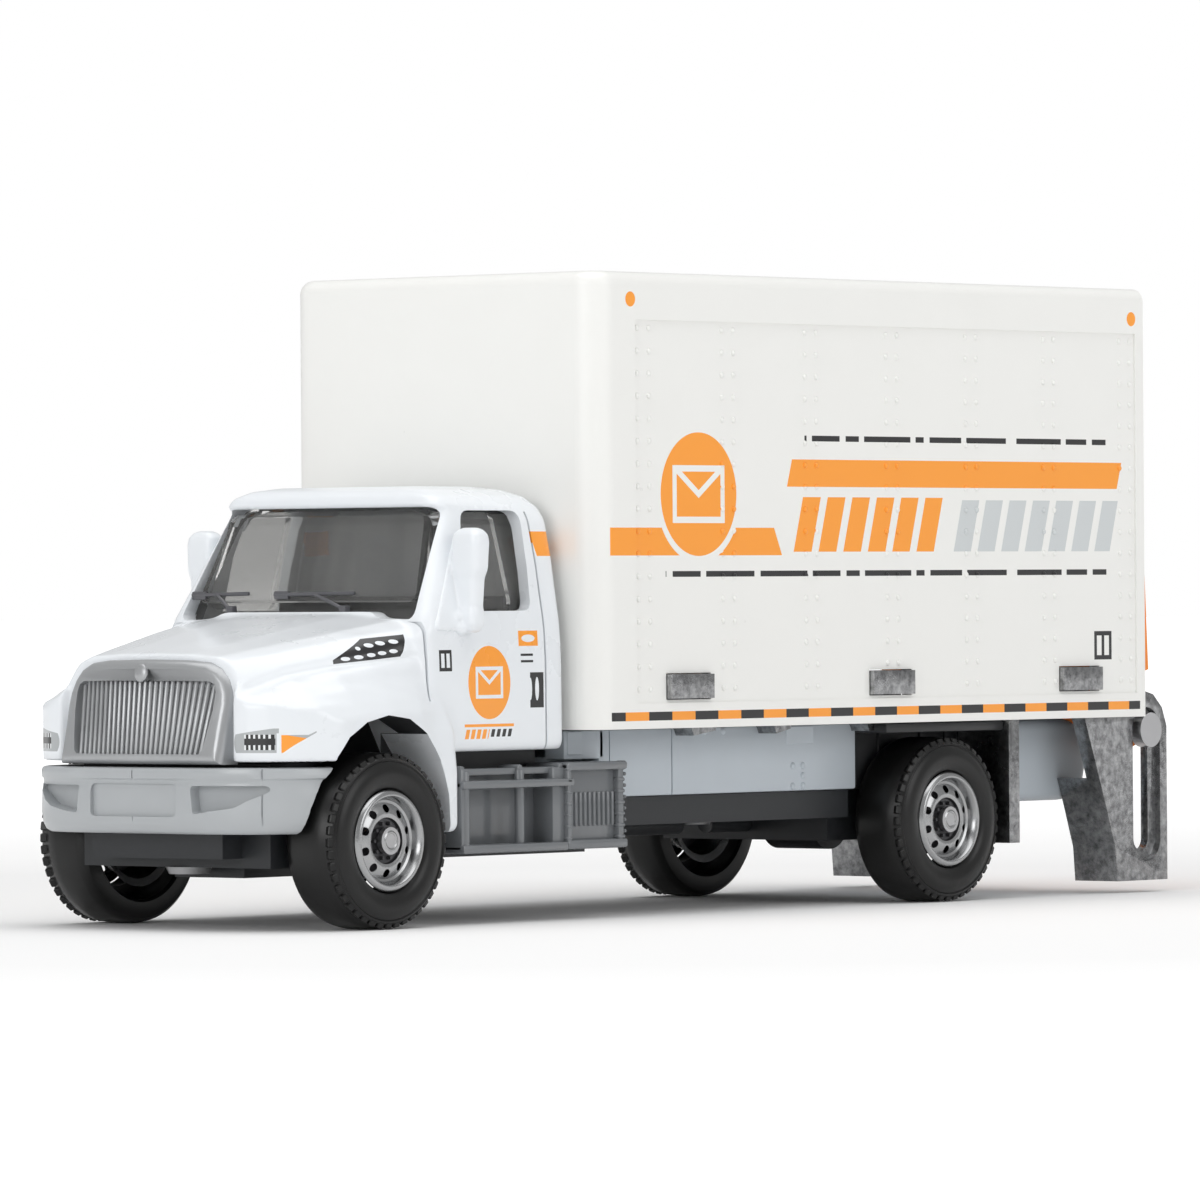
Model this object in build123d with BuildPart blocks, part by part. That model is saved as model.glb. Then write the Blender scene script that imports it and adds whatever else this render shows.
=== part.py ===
from build123d import *
import os

# Toy box truck with a tail lift, in millimetres.
# +Z is up, the grille faces -Y, the driver's (left) side is +X and the ground is Z = 0.

os.makedirs("parts", exist_ok=True)

LEFT = 1
RIGHT = -1
SIDES = ((LEFT, "left"), (RIGHT, "right"))

# Fits
running_gap = 0.05
moulding_gap = 0.05
slide_gap = 0.1

# Overall places
truck_front_y = -60.4

# Wheels and axles
tyre_radius = 7.4
tyre_width = 5.6
tyre_wall = 1.5
wheel_outer_x = 17.1
rim_radius = 4.25
rim_depth = 1.5
rim_recess = 0.5
rim_hub_radius = 1.9
axle_radius = 0.8
axle_head_radius = 1.15
axle_head_length = 0.5
front_axle_y = -47.0
wheelbase = 75.0
rear_axle_y = front_axle_y + wheelbase
wheel_inner_x = wheel_outer_x - tyre_width
axle_tunnel_half = wheel_inner_x - 0.7

# Cargo box
box_half_width = 17.7
box_front_y = -21.4
rear_overhang = 28.0
box_rear_y = rear_axle_y + rear_overhang
box_length = box_rear_y - box_front_y
box_bottom_z = 16.2
box_top_z = 55.5
box_wall = 1.3
box_corner_radius = 2.4
box_roof_radius = 1.2
box_frame_lip = 1.1
box_frame_depth = 1.4
panel_recess = 0.2
panel_top_z = 51.35
panel_front_inset = 5.3
panel_rear_inset = 1.2

# Zinc under-frame: cargo floor, lugs, mud flaps and lift towers
floor_thickness = 1.3
floor_half_width = box_half_width - box_wall - moulding_gap
floor_rear_y = box_rear_y - box_frame_depth - moulding_gap
floor_top_z = box_bottom_z + floor_thickness
under_box_z = box_bottom_z - moulding_gap
lug_length = 5.8
lug_height = 2.1
lug_z = 19.8
lug_proud = 0.3
lug_places = (0.16, 0.52, 0.875)
flap_front_y = rear_axle_y + tyre_radius + 1.1
flap_thickness = 1.5
flap_bottom_z = 5.05
flap_inner_x = 10.0
flap_outer_x = 17.0

# Lift towers, pin and platform
truck_rear_y = box_rear_y + 4.4
tower_outer_x = 16.8
tower_thickness = 1.5
tower_inner_x = tower_outer_x - tower_thickness
tower_rear_y = truck_rear_y
tower_bottom_z = 1.1
tower_top_z = 18.5
tower_web_width = 3.4
tower_web_thickness = 1.5
tower_web_top_z = 10.6
tower_foot_y = truck_rear_y - 7.6
pocket_width = 4.2
pocket_depth = 0.7
pin_radius = 1.0
pin_head_radius = 1.6
pin_head_thickness = 1.2
pin_y = box_rear_y + 1.25
pin_z = 14.95
lift_travel = 10.0
barrel_radius = 1.6
platform_side_gap = 0.3
platform_half_width = tower_inner_x - platform_side_gap
platform_face_y = pin_y + 0.75
platform_bottom_z = 19.9
platform_top_z = 34.0
platform_root_thickness = 2.05
platform_tip_thickness = 1.35
arm_half_width = 1.6
arm_x = 9.0

# Cab
cab_half_width = 15.1
cab_rear_y = box_front_y - 0.9
cab_bottom_z = 16.0
cab_belt_z = 26.0
cab_wall = 1.1
glass_thickness = 0.7
roof_z = 37.1
cowl_y = -39.6
hood_front_y = -57.6
hood_bottom_z = 14.1
fender_x = 16.9
fender_top_z = 18.4
fender_front_y = -58.7
fender_nose_x = 9.7
arch_radius = 8.8
arch_z = 8.9
arch_inner_x = wheel_inner_x - 0.6
arch_leg_half = 8.1
fender_tip_z = 8.1
mirror_y = -34.2
mirror_peg_z = 25.2
mirror_peg_radius = 0.6
mirror_outer_x = 16.9
post_radius = 1.8

# Grille and bumper
grille_bottom_z = 13.9
grille_top_z = 22.6
grille_half_width = 9.6
grille_front_y = -60.1
grille_edge_thickness = 0.5
grille_field_depth = 0.7
grille_slats = 24
bumper_bottom_z = 8.1
bumper_top_z = 13.65
bumper_half_width = 15.6
bumper_thickness = 2.2
bumper_arch_radius = 8.1

# Base moulding, step boxes and grey sub-frame
nose_base_half_width = 7.5
pan_half_width = wheel_inner_x - 0.8
rail_half_width = 12.0
base_top_z = 10.2
rail_bottom_z = 7.75
front_well_top_z = 13.9
cab_base_top_z = 15.8
front_pan_bottom_z = 5.2
rear_pan_bottom_z = 5.6
base_front_y = -57.4
base_rear_y = rear_axle_y + 9.0
step_outer_x = 16.4
step_inner_x = 11.4
step_front_y = -37.2
step_rear_y = -15.8
step_split_y = -23.7
step_bottom_z = 6.0
step_top_z = 13.5
step_post = 1.0
subframe_half_width = 13.0
subframe_front_y = -20.4
subframe_wall = 1.3
subframe_tail_y = box_rear_y - 9.4
subframe_tail_z = 8.5
waist_half_width = 9.6

# Rivets that clamp the base to the castings
rivet_radius = 1.0
rivet_head_radius = 1.7
rivet_head_height = 0.6
hood_rivet_y = -53.5
cabin_rivet_y = cab_rear_y - cab_wall - 1.6
rail_rivet_ys = (-8.0, 12.0)
tail_rivet_y = subframe_tail_y - 3.6

# Cab fittings
seat_height = 5.2
seat_back_z = 27.5
dash_depth = 2.6
steering_x = 6.5
steering_radius = 2.1
steering_rim = 0.35


def save(part, name):
    """Label one finished piece and write its STEP file."""
    part.label = name
    export_step(part, f"parts/{name}.step")


def cabin_solid(inset, bottom_z):
    """Cab envelope drawn in by inset: the side outline run across, trimmed to the front outline."""
    with BuildPart() as cabin:
        with BuildSketch(Plane.YZ):
            with BuildLine():
                Polyline(
                    (cab_rear_y, bottom_z),
                    (cab_rear_y, roof_z - 1.3),
                    (cab_rear_y - 1.3, roof_z - 0.4),
                    (cab_rear_y - 6.0, roof_z),
                    (-35.6, roof_z - 0.4),
                    (-35.9, roof_z - 1.6),
                    (cowl_y, cab_belt_z + 0.3),
                    (cowl_y - 1.0, cab_belt_z - 1.0),
                    (cowl_y - 1.0, bottom_z),
                    close=True,
                )
            make_face()
            if inset:
                offset(amount=-inset, kind=Kind.INTERSECTION)
        extrude(amount=cab_half_width + 2, both=True)
        with BuildSketch(Plane.XZ.offset(-cab_rear_y)):
            with BuildLine():
                half = (
                    (cab_half_width, bottom_z),
                    (cab_half_width, 22.0),
                    (14.3, 27.5),
                    (12.4, 34.4),
                    (11.2, roof_z - 1.0),
                    (9.0, roof_z - 0.4),
                    (0, roof_z),
                )
                Polyline(*half, *[(-x, z) for x, z in half[-2::-1]], close=True)
            make_face()
            if inset:
                offset(amount=-inset, kind=Kind.INTERSECTION)
        extrude(amount=cab_rear_y - cowl_y + 6, mode=Mode.INTERSECT)
    return cabin.part


def hood_solid(inset, bottom_z):
    """Tapering hood between the grille and the windscreen, drawn in by inset."""
    front = ((9.4, bottom_z), (9.4, 19.0), (8.6, 21.8), (6.5, 22.7), (0, 22.9))
    back = ((13.8, bottom_z), (13.8, 22.0), (13.2, 25.0), (11.0, 26.1), (0, 26.4))
    with BuildPart() as hood:
        for y, half in ((hood_front_y + inset, front), (cowl_y - 0.2, back)):
            with BuildSketch(Plane.XZ.offset(-y)):
                with BuildLine():
                    Polyline(*half, *[(-x, z) for x, z in half[-2::-1]], close=True)
                make_face()
                if inset:
                    offset(amount=-inset, kind=Kind.INTERSECTION)
        loft(ruled=True)
    return hood.part


def window_sketch(corners, inset, radius):
    """Flat outline of a window opening with rounded corners, drawn in by inset."""
    with BuildSketch(Plane.XY) as outline:
        with BuildLine():
            Polyline(*corners, close=True)
        make_face()
        if inset:
            offset(amount=-inset, kind=Kind.INTERSECTION)
        fillet(outline.vertices(), radius - inset)
    return outline.sketch


def windscreen(inset):
    """Front view of the windscreen opening."""
    corners = ((12.6, 27.2), (11.1, 34.6), (-11.1, 34.6), (-12.6, 27.2))
    return window_sketch(corners, inset, 0.8)


def side_window(inset):
    """Side view of the door window openings."""
    corners = ((-35.1, 34.9), (-28.3, 34.9), (-28.3, 26.6), (-36.6, 26.6))
    return window_sketch(corners, inset, 0.7)


def wheel_plane(axle_y):
    """Plane through an axle, with local x across the truck and local y outwards from the axle."""
    return Plane(origin=(0, axle_y, tyre_radius), x_dir=(1, 0, 0), z_dir=(0, 0, 1))


def axle_axis(axle_y):
    return Axis((0, axle_y, tyre_radius), (1, 0, 0))


def make_tyre(side, axle_y, name):
    """Tyre: a tread band with an outer sidewall, hollow on the inside."""
    sidewall = rim_depth + rim_recess
    with BuildPart() as tyre:
        with BuildSketch(wheel_plane(axle_y)):
            with BuildLine():
                Polyline(
                    (side * wheel_inner_x, tyre_radius - tyre_wall),
                    (side * wheel_inner_x, tyre_radius - 0.25),
                    (side * (wheel_inner_x + 0.25), tyre_radius),
                    (side * (wheel_outer_x - 0.9), tyre_radius),
                    (side * (wheel_outer_x - 0.15), tyre_radius - 0.7),
                    (side * wheel_outer_x, tyre_radius - 1.6),
                    (side * (wheel_outer_x - 0.2), rim_radius + 0.3),
                    (side * (wheel_outer_x - 0.4), rim_radius + moulding_gap),
                    (side * (wheel_outer_x - sidewall), rim_radius + moulding_gap),
                    (side * (wheel_outer_x - sidewall), tyre_radius - tyre_wall),
                    close=True,
                )
            make_face()
        revolve(axis=axle_axis(axle_y))
    save(tyre.part, name)


def make_rim(side, axle_y, name):
    """Rim: a dished disc with ten hand holes, a raised lip and a hub bored for the axle."""
    face_x = wheel_outer_x - rim_recess
    bore = axle_radius + running_gap
    hand_holes = 10
    hand_hole_radius = 0.36
    hand_hole_circle = 2.75
    with BuildPart() as rim:
        with BuildSketch(wheel_plane(axle_y)):
            with BuildLine():
                Polyline(
                    (side * (face_x - rim_depth), rim_radius),
                    (side * (face_x + 0.2), rim_radius),
                    (side * (face_x + 0.2), rim_radius - 0.35),
                    (side * (face_x - 0.3), rim_radius - 0.75),
                    (side * (face_x - 0.7), rim_radius - 0.85),
                    (side * (face_x - 0.5), rim_hub_radius + 0.2),
                    (side * (face_x - 0.2), rim_hub_radius),
                    (side * (face_x - 0.2), bore),
                    (side * (wheel_inner_x + 0.4), bore),
                    (side * (wheel_inner_x + 0.4), rim_hub_radius),
                    (side * (face_x - rim_depth), rim_hub_radius + 0.4),
                    close=True,
                )
            make_face()
        revolve(axis=axle_axis(axle_y))
        hole_plane = Plane(origin=(0, axle_y, tyre_radius), x_dir=(0, 1, 0), z_dir=(side, 0, 0))
        with BuildSketch(hole_plane.offset(face_x - rim_depth - 1)):
            with PolarLocations(hand_hole_circle, hand_holes):
                Circle(hand_hole_radius)
        extrude(amount=rim_depth + 2, mode=Mode.SUBTRACT)
    save(rim.part, name)


def make_axle(axle_y, name):
    """Steel axle with a formed head outside each wheel hub."""
    head_x = wheel_outer_x - rim_recess - 0.2 + running_gap
    with BuildPart() as axle:
        with BuildSketch(Plane.YZ.offset(-head_x)):
            with Locations((axle_y, tyre_radius)):
                Circle(axle_radius)
        extrude(amount=2 * head_x)
        for start in (-head_x - axle_head_length, head_x):
            with BuildSketch(Plane.YZ.offset(start)):
                with Locations((axle_y, tyre_radius)):
                    Circle(axle_head_radius)
            extrude(amount=axle_head_length)
    save(axle.part, name)


for axle_y, end in ((front_axle_y, "front"), (rear_axle_y, "rear")):
    make_axle(axle_y, f"{end}_axle")
    for side, hand in SIDES:
        make_tyre(side, axle_y, f"tyre_{end}_{hand}")
        make_rim(side, axle_y, f"rim_{end}_{hand}")


def lug_ys():
    """Places of the floor lugs along the box, as shares of its length."""
    return [box_front_y + share * box_length for share in lug_places]


def make_cargo_box():
    """White plastic body shell: open at the bottom for the floor and at the rear for loading."""
    height = box_top_z - box_bottom_z
    mid_y = (box_front_y + box_rear_y) / 2
    slot_gap = 0.1
    with BuildPart() as box:
        with BuildSketch(Plane.XY.offset(box_bottom_z)):
            with Locations((0, mid_y)):
                Rectangle(2 * box_half_width, box_length)
        extrude(amount=height)
        front_corners = box.edges().filter_by(Axis.Z).group_by(Axis.Y)[0]
        fillet(front_corners, box_corner_radius)
        roof_edges = box.faces().sort_by(Axis.Z)[-1].edges()
        fillet(roof_edges.sort_by(Axis.Y)[:-1], box_roof_radius)
        # Load space, then the door opening inside a frame lip at the rear.
        space_rear_y = box_rear_y - box_frame_depth
        space_front_y = box_front_y + box_wall
        with BuildSketch(Plane.XY.offset(box_bottom_z)):
            with Locations((0, (space_front_y + space_rear_y) / 2)):
                Rectangle(2 * (box_half_width - box_wall), space_rear_y - space_front_y)
        extrude(amount=height - box_wall, mode=Mode.SUBTRACT)
        opening_half = box_half_width - box_wall - box_frame_lip
        opening_top = box_top_z - box_wall - 2 * box_frame_lip
        with BuildSketch(Plane.XZ.offset(-box_rear_y - 1)):
            with Locations((0, (box_bottom_z + opening_top) / 2)):
                Rectangle(2 * opening_half, opening_top - box_bottom_z)
        extrude(amount=box_frame_depth + 2, mode=Mode.SUBTRACT)
        # Sunken riveted panel and lug slots on both sides.
        panel_y = box_front_y + panel_front_inset
        panel_length = box_length - panel_front_inset - panel_rear_inset
        for side, _ in SIDES:
            outer = Plane(origin=(side * (box_half_width - panel_recess), 0, 0), x_dir=(0, 1, 0), z_dir=(1, 0, 0))
            with BuildSketch(outer):
                with Locations((panel_y + panel_length / 2, (panel_top_z + box_bottom_z + 2.2) / 2)):
                    Rectangle(panel_length, panel_top_z - box_bottom_z - 2.2)
            extrude(amount=side * 2, mode=Mode.SUBTRACT)
            inner = Plane(origin=(side * (box_half_width - box_wall - 0.5), 0, 0), x_dir=(0, 1, 0), z_dir=(1, 0, 0))
            with BuildSketch(inner):
                with Locations(*[(y, lug_z) for y in lug_ys()]):
                    Rectangle(lug_length + 2 * slot_gap, lug_height + 2 * slot_gap)
            extrude(amount=side * (box_wall + 1), mode=Mode.SUBTRACT)
    save(box.part, "cargo_box")


def tower_outline():
    """Side view of a lift tower: sloped front edge, square foot and rounded top."""
    top = under_box_z
    rear = tower_rear_y
    Polyline(
        (tower_foot_y - 4.8, top),
        (tower_foot_y - 4.4, 15.2),
        (tower_foot_y - 1.5, 7.6),
        (tower_foot_y - 0.3, 4.2),
        (tower_foot_y, tower_bottom_z),
        (rear, tower_bottom_z),
        (rear, tower_top_z - 3.2),
        (rear - 0.7, tower_top_z - 1.5),
        (rear - 2.0, tower_top_z - 0.3),
        (rear - 3.2, tower_top_z),
        (box_rear_y + moulding_gap, tower_top_z),
        (box_rear_y + moulding_gap, top),
        close=True,
    )


def make_frame_casting():
    """Raw zinc under-frame: cargo floor with lugs, two mud flaps and two slotted lift towers."""
    floor_front_y = box_front_y + box_wall + moulding_gap
    slot_half = pin_radius + slide_gap
    slot_low = pin_z - lift_travel
    with BuildPart() as frame:
        with BuildSketch(Plane.XY.offset(box_bottom_z)):
            with Locations((0, (floor_front_y + floor_rear_y) / 2)):
                Rectangle(2 * floor_half_width, floor_rear_y - floor_front_y)
        extrude(amount=floor_thickness)
        for side, _ in SIDES:
            # Lugs that stand up from the floor edge and snap out through the box wall.
            post_x = side * (floor_half_width - 0.7)
            with BuildSketch(Plane.XY.offset(floor_top_z - 0.1)):
                with Locations(*[(post_x, y) for y in lug_ys()]):
                    Rectangle(1.4, lug_length)
            extrude(amount=lug_z + lug_height / 2 - floor_top_z + 0.1)
            lug_plane = Plane(origin=(side * (floor_half_width - 0.1), 0, 0), x_dir=(0, 1, 0), z_dir=(1, 0, 0))
            with BuildSketch(lug_plane):
                with Locations(*[(y, lug_z) for y in lug_ys()]):
                    Rectangle(lug_length, lug_height)
            extrude(amount=side * (box_half_width + lug_proud - floor_half_width + 0.1))
            # Mud flap behind the rear wheel, with a root that joins it to the floor.
            flap_mid_x = side * (flap_inner_x + flap_outer_x) / 2
            with BuildSketch(Plane.XZ.offset(-flap_front_y - flap_thickness)):
                with Locations((flap_mid_x, (flap_bottom_z + under_box_z) / 2)):
                    Rectangle(flap_outer_x - flap_inner_x, under_box_z - flap_bottom_z)
            extrude(amount=flap_thickness)
            root_width = floor_half_width - flap_inner_x
            with BuildSketch(Plane.XY.offset(under_box_z - 0.5)):
                with Locations((side * (flap_inner_x + root_width / 2), flap_front_y + flap_thickness / 2)):
                    Rectangle(root_width, flap_thickness)
            extrude(amount=1)
            # Root that joins the tower plate to the floor.
            tower_root = floor_half_width - tower_inner_x
            with BuildSketch(Plane.XY.offset(under_box_z - 0.5)):
                with Locations((side * (tower_inner_x + tower_root / 2), (tower_foot_y - 4.6 + floor_rear_y) / 2)):
                    Rectangle(tower_root, floor_rear_y - tower_foot_y + 4.6)
            extrude(amount=1)
            # Tower side plate.
            with BuildSketch(Plane.YZ.offset(side * tower_inner_x)):
                with BuildLine():
                    tower_outline()
                make_face()
            extrude(amount=side * tower_thickness)
            # Front web that stiffens the foot, following the sloped edge.
            with BuildSketch(Plane.YZ.offset(side * (tower_inner_x - tower_web_width))):
                with BuildLine():
                    Polyline(
                        (tower_foot_y - 2.65, tower_web_top_z),
                        (tower_foot_y - 1.5, 7.6),
                        (tower_foot_y - 0.3, 4.2),
                        (tower_foot_y, tower_bottom_z),
                        (tower_foot_y + tower_web_thickness, tower_bottom_z),
                        (tower_foot_y - 0.3 + tower_web_thickness, 4.2),
                        (tower_foot_y - 1.5 + tower_web_thickness, 7.6),
                        (tower_foot_y - 2.65 + tower_web_thickness, tower_web_top_z),
                        close=True,
                    )
                make_face()
            extrude(amount=side * tower_web_width)
            # Stepped slot: a pocket for the pin head outside a narrower slot for its shank.
            slot_mid = (pin_y, (pin_z + slot_low) / 2)
            with BuildSketch(Plane.YZ.offset(side * (tower_outer_x - pocket_depth))):
                with Locations(slot_mid):
                    SlotCenterToCenter(lift_travel, pocket_width, rotation=90)
            extrude(amount=side * (pocket_depth + 1), mode=Mode.SUBTRACT)
            with BuildSketch(Plane.YZ.offset(side * (tower_inner_x - 0.5))):
                with Locations(slot_mid):
                    SlotCenterToCenter(lift_travel, 2 * slot_half, rotation=90)
            extrude(amount=side * (tower_thickness + 1), mode=Mode.SUBTRACT)
        # Rivet holes in the floor.
        with BuildSketch(Plane.XY.offset(box_bottom_z - 1)):
            with Locations(*[(0, y) for y in (*rail_rivet_ys, tail_rivet_y)]):
                Circle(rivet_radius + moulding_gap)
        extrude(amount=floor_thickness + 2, mode=Mode.SUBTRACT)
    save(frame.part, "frame_casting")


def make_lift_pin():
    """Steel cross pin: its shank runs in both tower slots and its heads ride in the pockets."""
    head_inner_x = tower_outer_x - pocket_depth + slide_gap
    with BuildPart() as pin:
        with BuildSketch(Plane.YZ.offset(-head_inner_x)):
            with Locations((pin_y, pin_z)):
                Circle(pin_radius)
        extrude(amount=2 * head_inner_x)
        for start in (-head_inner_x - pin_head_thickness, head_inner_x):
            with BuildSketch(Plane.YZ.offset(start)):
                with Locations((pin_y, pin_z)):
                    Circle(pin_head_radius)
            extrude(amount=pin_head_thickness)
    save(pin.part, "lift_pin")


def make_lift_platform():
    """Orange tail-lift platform: a wedge plate on two arms whose barrels turn on the pin."""
    rib_count = 9
    rib_pitch = 2.9
    with BuildPart() as platform:
        with BuildSketch(Plane.YZ.offset(-platform_half_width)):
            with BuildLine():
                Polyline(
                    (platform_face_y, platform_bottom_z),
                    (platform_face_y + platform_root_thickness, platform_bottom_z + 0.6),
                    (platform_face_y + platform_tip_thickness, platform_top_z - 0.7),
                    (platform_face_y + 0.9, platform_top_z),
                    (platform_face_y, platform_top_z),
                    close=True,
                )
            make_face()
        extrude(amount=2 * platform_half_width)
        for side, _ in SIDES:
            with BuildSketch(Plane.YZ.offset(side * (arm_x - arm_half_width))):
                with BuildLine():
                    Polyline(
                        (pin_y, pin_z - barrel_radius),
                        (pin_y + 1.8, pin_z - 0.5),
                        (platform_face_y + platform_root_thickness - 0.2, platform_bottom_z + 1.2),
                        (platform_face_y, platform_bottom_z + 1.2),
                        (platform_face_y, pin_z + barrel_radius),
                        (pin_y, pin_z + barrel_radius),
                        close=True,
                    )
                make_face()
            extrude(amount=side * 2 * arm_half_width)
        # One hinge barrel across, so the pin is carried between the towers.
        with BuildSketch(Plane.YZ.offset(-platform_half_width)):
            with Locations((pin_y, pin_z)):
                Circle(barrel_radius)
        extrude(amount=2 * platform_half_width)
        with BuildSketch(Plane.YZ.offset(-platform_half_width - 1)):
            with Locations((pin_y, pin_z)):
                Circle(pin_radius + running_gap)
        extrude(amount=2 * platform_half_width + 2, mode=Mode.SUBTRACT)
        # Grip ribs sunk in the loading face.
        rib_plane = Plane.XZ.offset(-platform_face_y - 0.25)
        with BuildSketch(rib_plane):
            with Locations((0, (platform_bottom_z + platform_top_z) / 2 + 0.3)):
                with GridLocations(rib_pitch, 0, rib_count, 1):
                    Rectangle(0.8, platform_top_z - platform_bottom_z - 3)
        extrude(amount=0.5, mode=Mode.SUBTRACT)
    save(platform.part, "lift_platform")


def make_cab_shell():
    """White die-cast cab: cabin, hood and fenders in one shell, open underneath."""
    cabin = cabin_solid(0, cab_bottom_z)
    hood = hood_solid(0, hood_bottom_z)
    cabin_space = cabin_solid(cab_wall, cab_bottom_z - 6)
    hood_space = hood_solid(cab_wall, hood_bottom_z - 4)
    front_opening = windscreen(0)
    side_opening = side_window(0)
    with BuildPart() as cab:
        add(cabin)
        add(hood)
        with BuildSketch(Plane.XY.offset(hood_bottom_z)):
            with BuildLine():
                Polyline(
                    (0, hood_front_y),
                    (fender_nose_x, hood_front_y),
                    (fender_nose_x, fender_front_y),
                )
                Spline(
                    (fender_nose_x, fender_front_y),
                    (13.9, fender_front_y + 1.3),
                    (fender_x, -52.6),
                    tangents=((1, 0.02), (0, 1)),
                )
                Polyline(
                    (fender_x, -52.6),
                    (fender_x, -39.4),
                    (cab_half_width, step_front_y),
                    (0, step_front_y),
                    (0, hood_front_y),
                )
            make_face()
            mirror(about=Plane.YZ)
        extrude(amount=fender_top_z - hood_bottom_z)
        # Rear leg of each fender, behind the wheel.
        for side, _ in SIDES:
            with BuildSketch(Plane.YZ.offset(side * (wheel_inner_x + 0.8))):
                with BuildLine():
                    Polyline(
                        (-38.9, fender_tip_z),
                        (-37.6, fender_tip_z),
                        (-37.3, 13.9),
                        (-36.4, cab_bottom_z + 0.5),
                        (-38.9, cab_bottom_z + 0.5),
                        close=True,
                    )
                make_face()
            extrude(amount=side * (fender_x - wheel_inner_x - 0.8))
        # Wheel arches.
        for side, _ in SIDES:
            with BuildSketch(Plane.YZ.offset(side * arch_inner_x)):
                with Locations((front_axle_y, arch_z)):
                    Circle(arch_radius)
                with Locations((front_axle_y, arch_z - 5)):
                    Rectangle(2 * arch_leg_half, 10)
            extrude(amount=side * (fender_x - arch_inner_x + 1), mode=Mode.SUBTRACT)
        add(cabin_space, mode=Mode.SUBTRACT)
        add(hood_space, mode=Mode.SUBTRACT)
        # Windscreen and side window openings.
        with BuildSketch(Plane.XZ.offset(33.0)):
            add(front_opening)
        extrude(amount=12, mode=Mode.SUBTRACT)
        with BuildSketch(Plane.YZ.offset(-cab_half_width - 1)):
            add(side_opening)
        extrude(amount=2 * cab_half_width + 2, mode=Mode.SUBTRACT)
        # Bores for the mirror pegs.
        with BuildSketch(Plane.YZ.offset(-cab_half_width - 1)):
            with Locations((mirror_y, mirror_peg_z)):
                Circle(mirror_peg_radius + moulding_gap)
        extrude(amount=2 * cab_half_width + 2, mode=Mode.SUBTRACT)
        # Posts that the base is riveted to.
        for post_y, low_z, high_z in (
            (hood_rivet_y, front_well_top_z, 23.2),
            (cabin_rivet_y, cab_base_top_z, 22.0),
        ):
            with BuildSketch(Plane.XY.offset(low_z + moulding_gap)):
                with Locations((0, post_y)):
                    Circle(post_radius)
            extrude(amount=high_z - low_z)
            with BuildSketch(Plane.XY.offset(low_z - 1)):
                with Locations((0, post_y)):
                    Circle(rivet_radius + moulding_gap)
            extrude(amount=4, mode=Mode.SUBTRACT)
    save(cab.part, "cab_shell")


def block(y_range, half_width, z_range):
    """Plain block centred on the truck, for the moulded base, sub-frame and interior."""
    middle = (0, (y_range[0] + y_range[1]) / 2, (z_range[0] + z_range[1]) / 2)
    with Locations(middle):
        Box(2 * half_width, y_range[1] - y_range[0], z_range[1] - z_range[0])


def rivet_holes(ys):
    """Through holes for the clamping rivets."""
    with Locations(*[(0, y, box_bottom_z / 2) for y in ys]):
        Cylinder(rivet_radius + moulding_gap, box_bottom_z + 4, mode=Mode.SUBTRACT)


def make_base_moulding():
    """Black plastic base: front and rear axle blocks joined by a rail, with moulded driveline."""
    front_block_rear_y = front_axle_y + arch_leg_half
    waist_front_y = rear_axle_y - tyre_radius - 1.1
    with BuildPart() as base:
        block((base_front_y, -55.0), nose_base_half_width, (front_pan_bottom_z + 0.8, base_top_z))
        block((-55.0, front_block_rear_y), pan_half_width, (front_pan_bottom_z, front_well_top_z))
        block((front_block_rear_y, cab_rear_y), step_inner_x - moulding_gap, (rear_pan_bottom_z, cab_base_top_z))
        block((cab_rear_y, step_rear_y), step_inner_x - moulding_gap, (rear_pan_bottom_z, base_top_z))
        block((step_rear_y, waist_front_y), rail_half_width, (rail_bottom_z, base_top_z))
        block((waist_front_y, base_rear_y), waist_half_width, (rear_pan_bottom_z, base_top_z))
        # Sump, drive shaft and differential moulded on the underside.
        block((-51.0, -41.0), 4.0, (front_pan_bottom_z - 1.0, front_pan_bottom_z + 0.5))
        with BuildSketch(Plane.XZ.offset(-step_rear_y)):
            with Locations((0, rail_bottom_z - 0.6)):
                Circle(0.85)
        extrude(amount=step_rear_y - rear_axle_y)
        with BuildSketch(Plane.YZ.offset(-3.0)):
            with Locations((rear_axle_y, tyre_radius - 0.1)):
                Circle(2.75)
        extrude(amount=6.0)
        # Room for the rivet heads where they meet the drive shaft.
        with Locations(*[(0, y, rail_bottom_z - 2) for y in rail_rivet_ys]):
            Cylinder(rivet_head_radius + 0.4, 4, mode=Mode.SUBTRACT)
        # Axle bores.
        with BuildSketch(Plane.YZ.offset(-step_outer_x)):
            with Locations((front_axle_y, tyre_radius), (rear_axle_y, tyre_radius)):
                Circle(axle_radius + moulding_gap)
        extrude(amount=2 * step_outer_x, mode=Mode.SUBTRACT)
        rivet_holes((hood_rivet_y, cabin_rivet_y, *rail_rivet_ys))
    save(base.part, "base_moulding")


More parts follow.
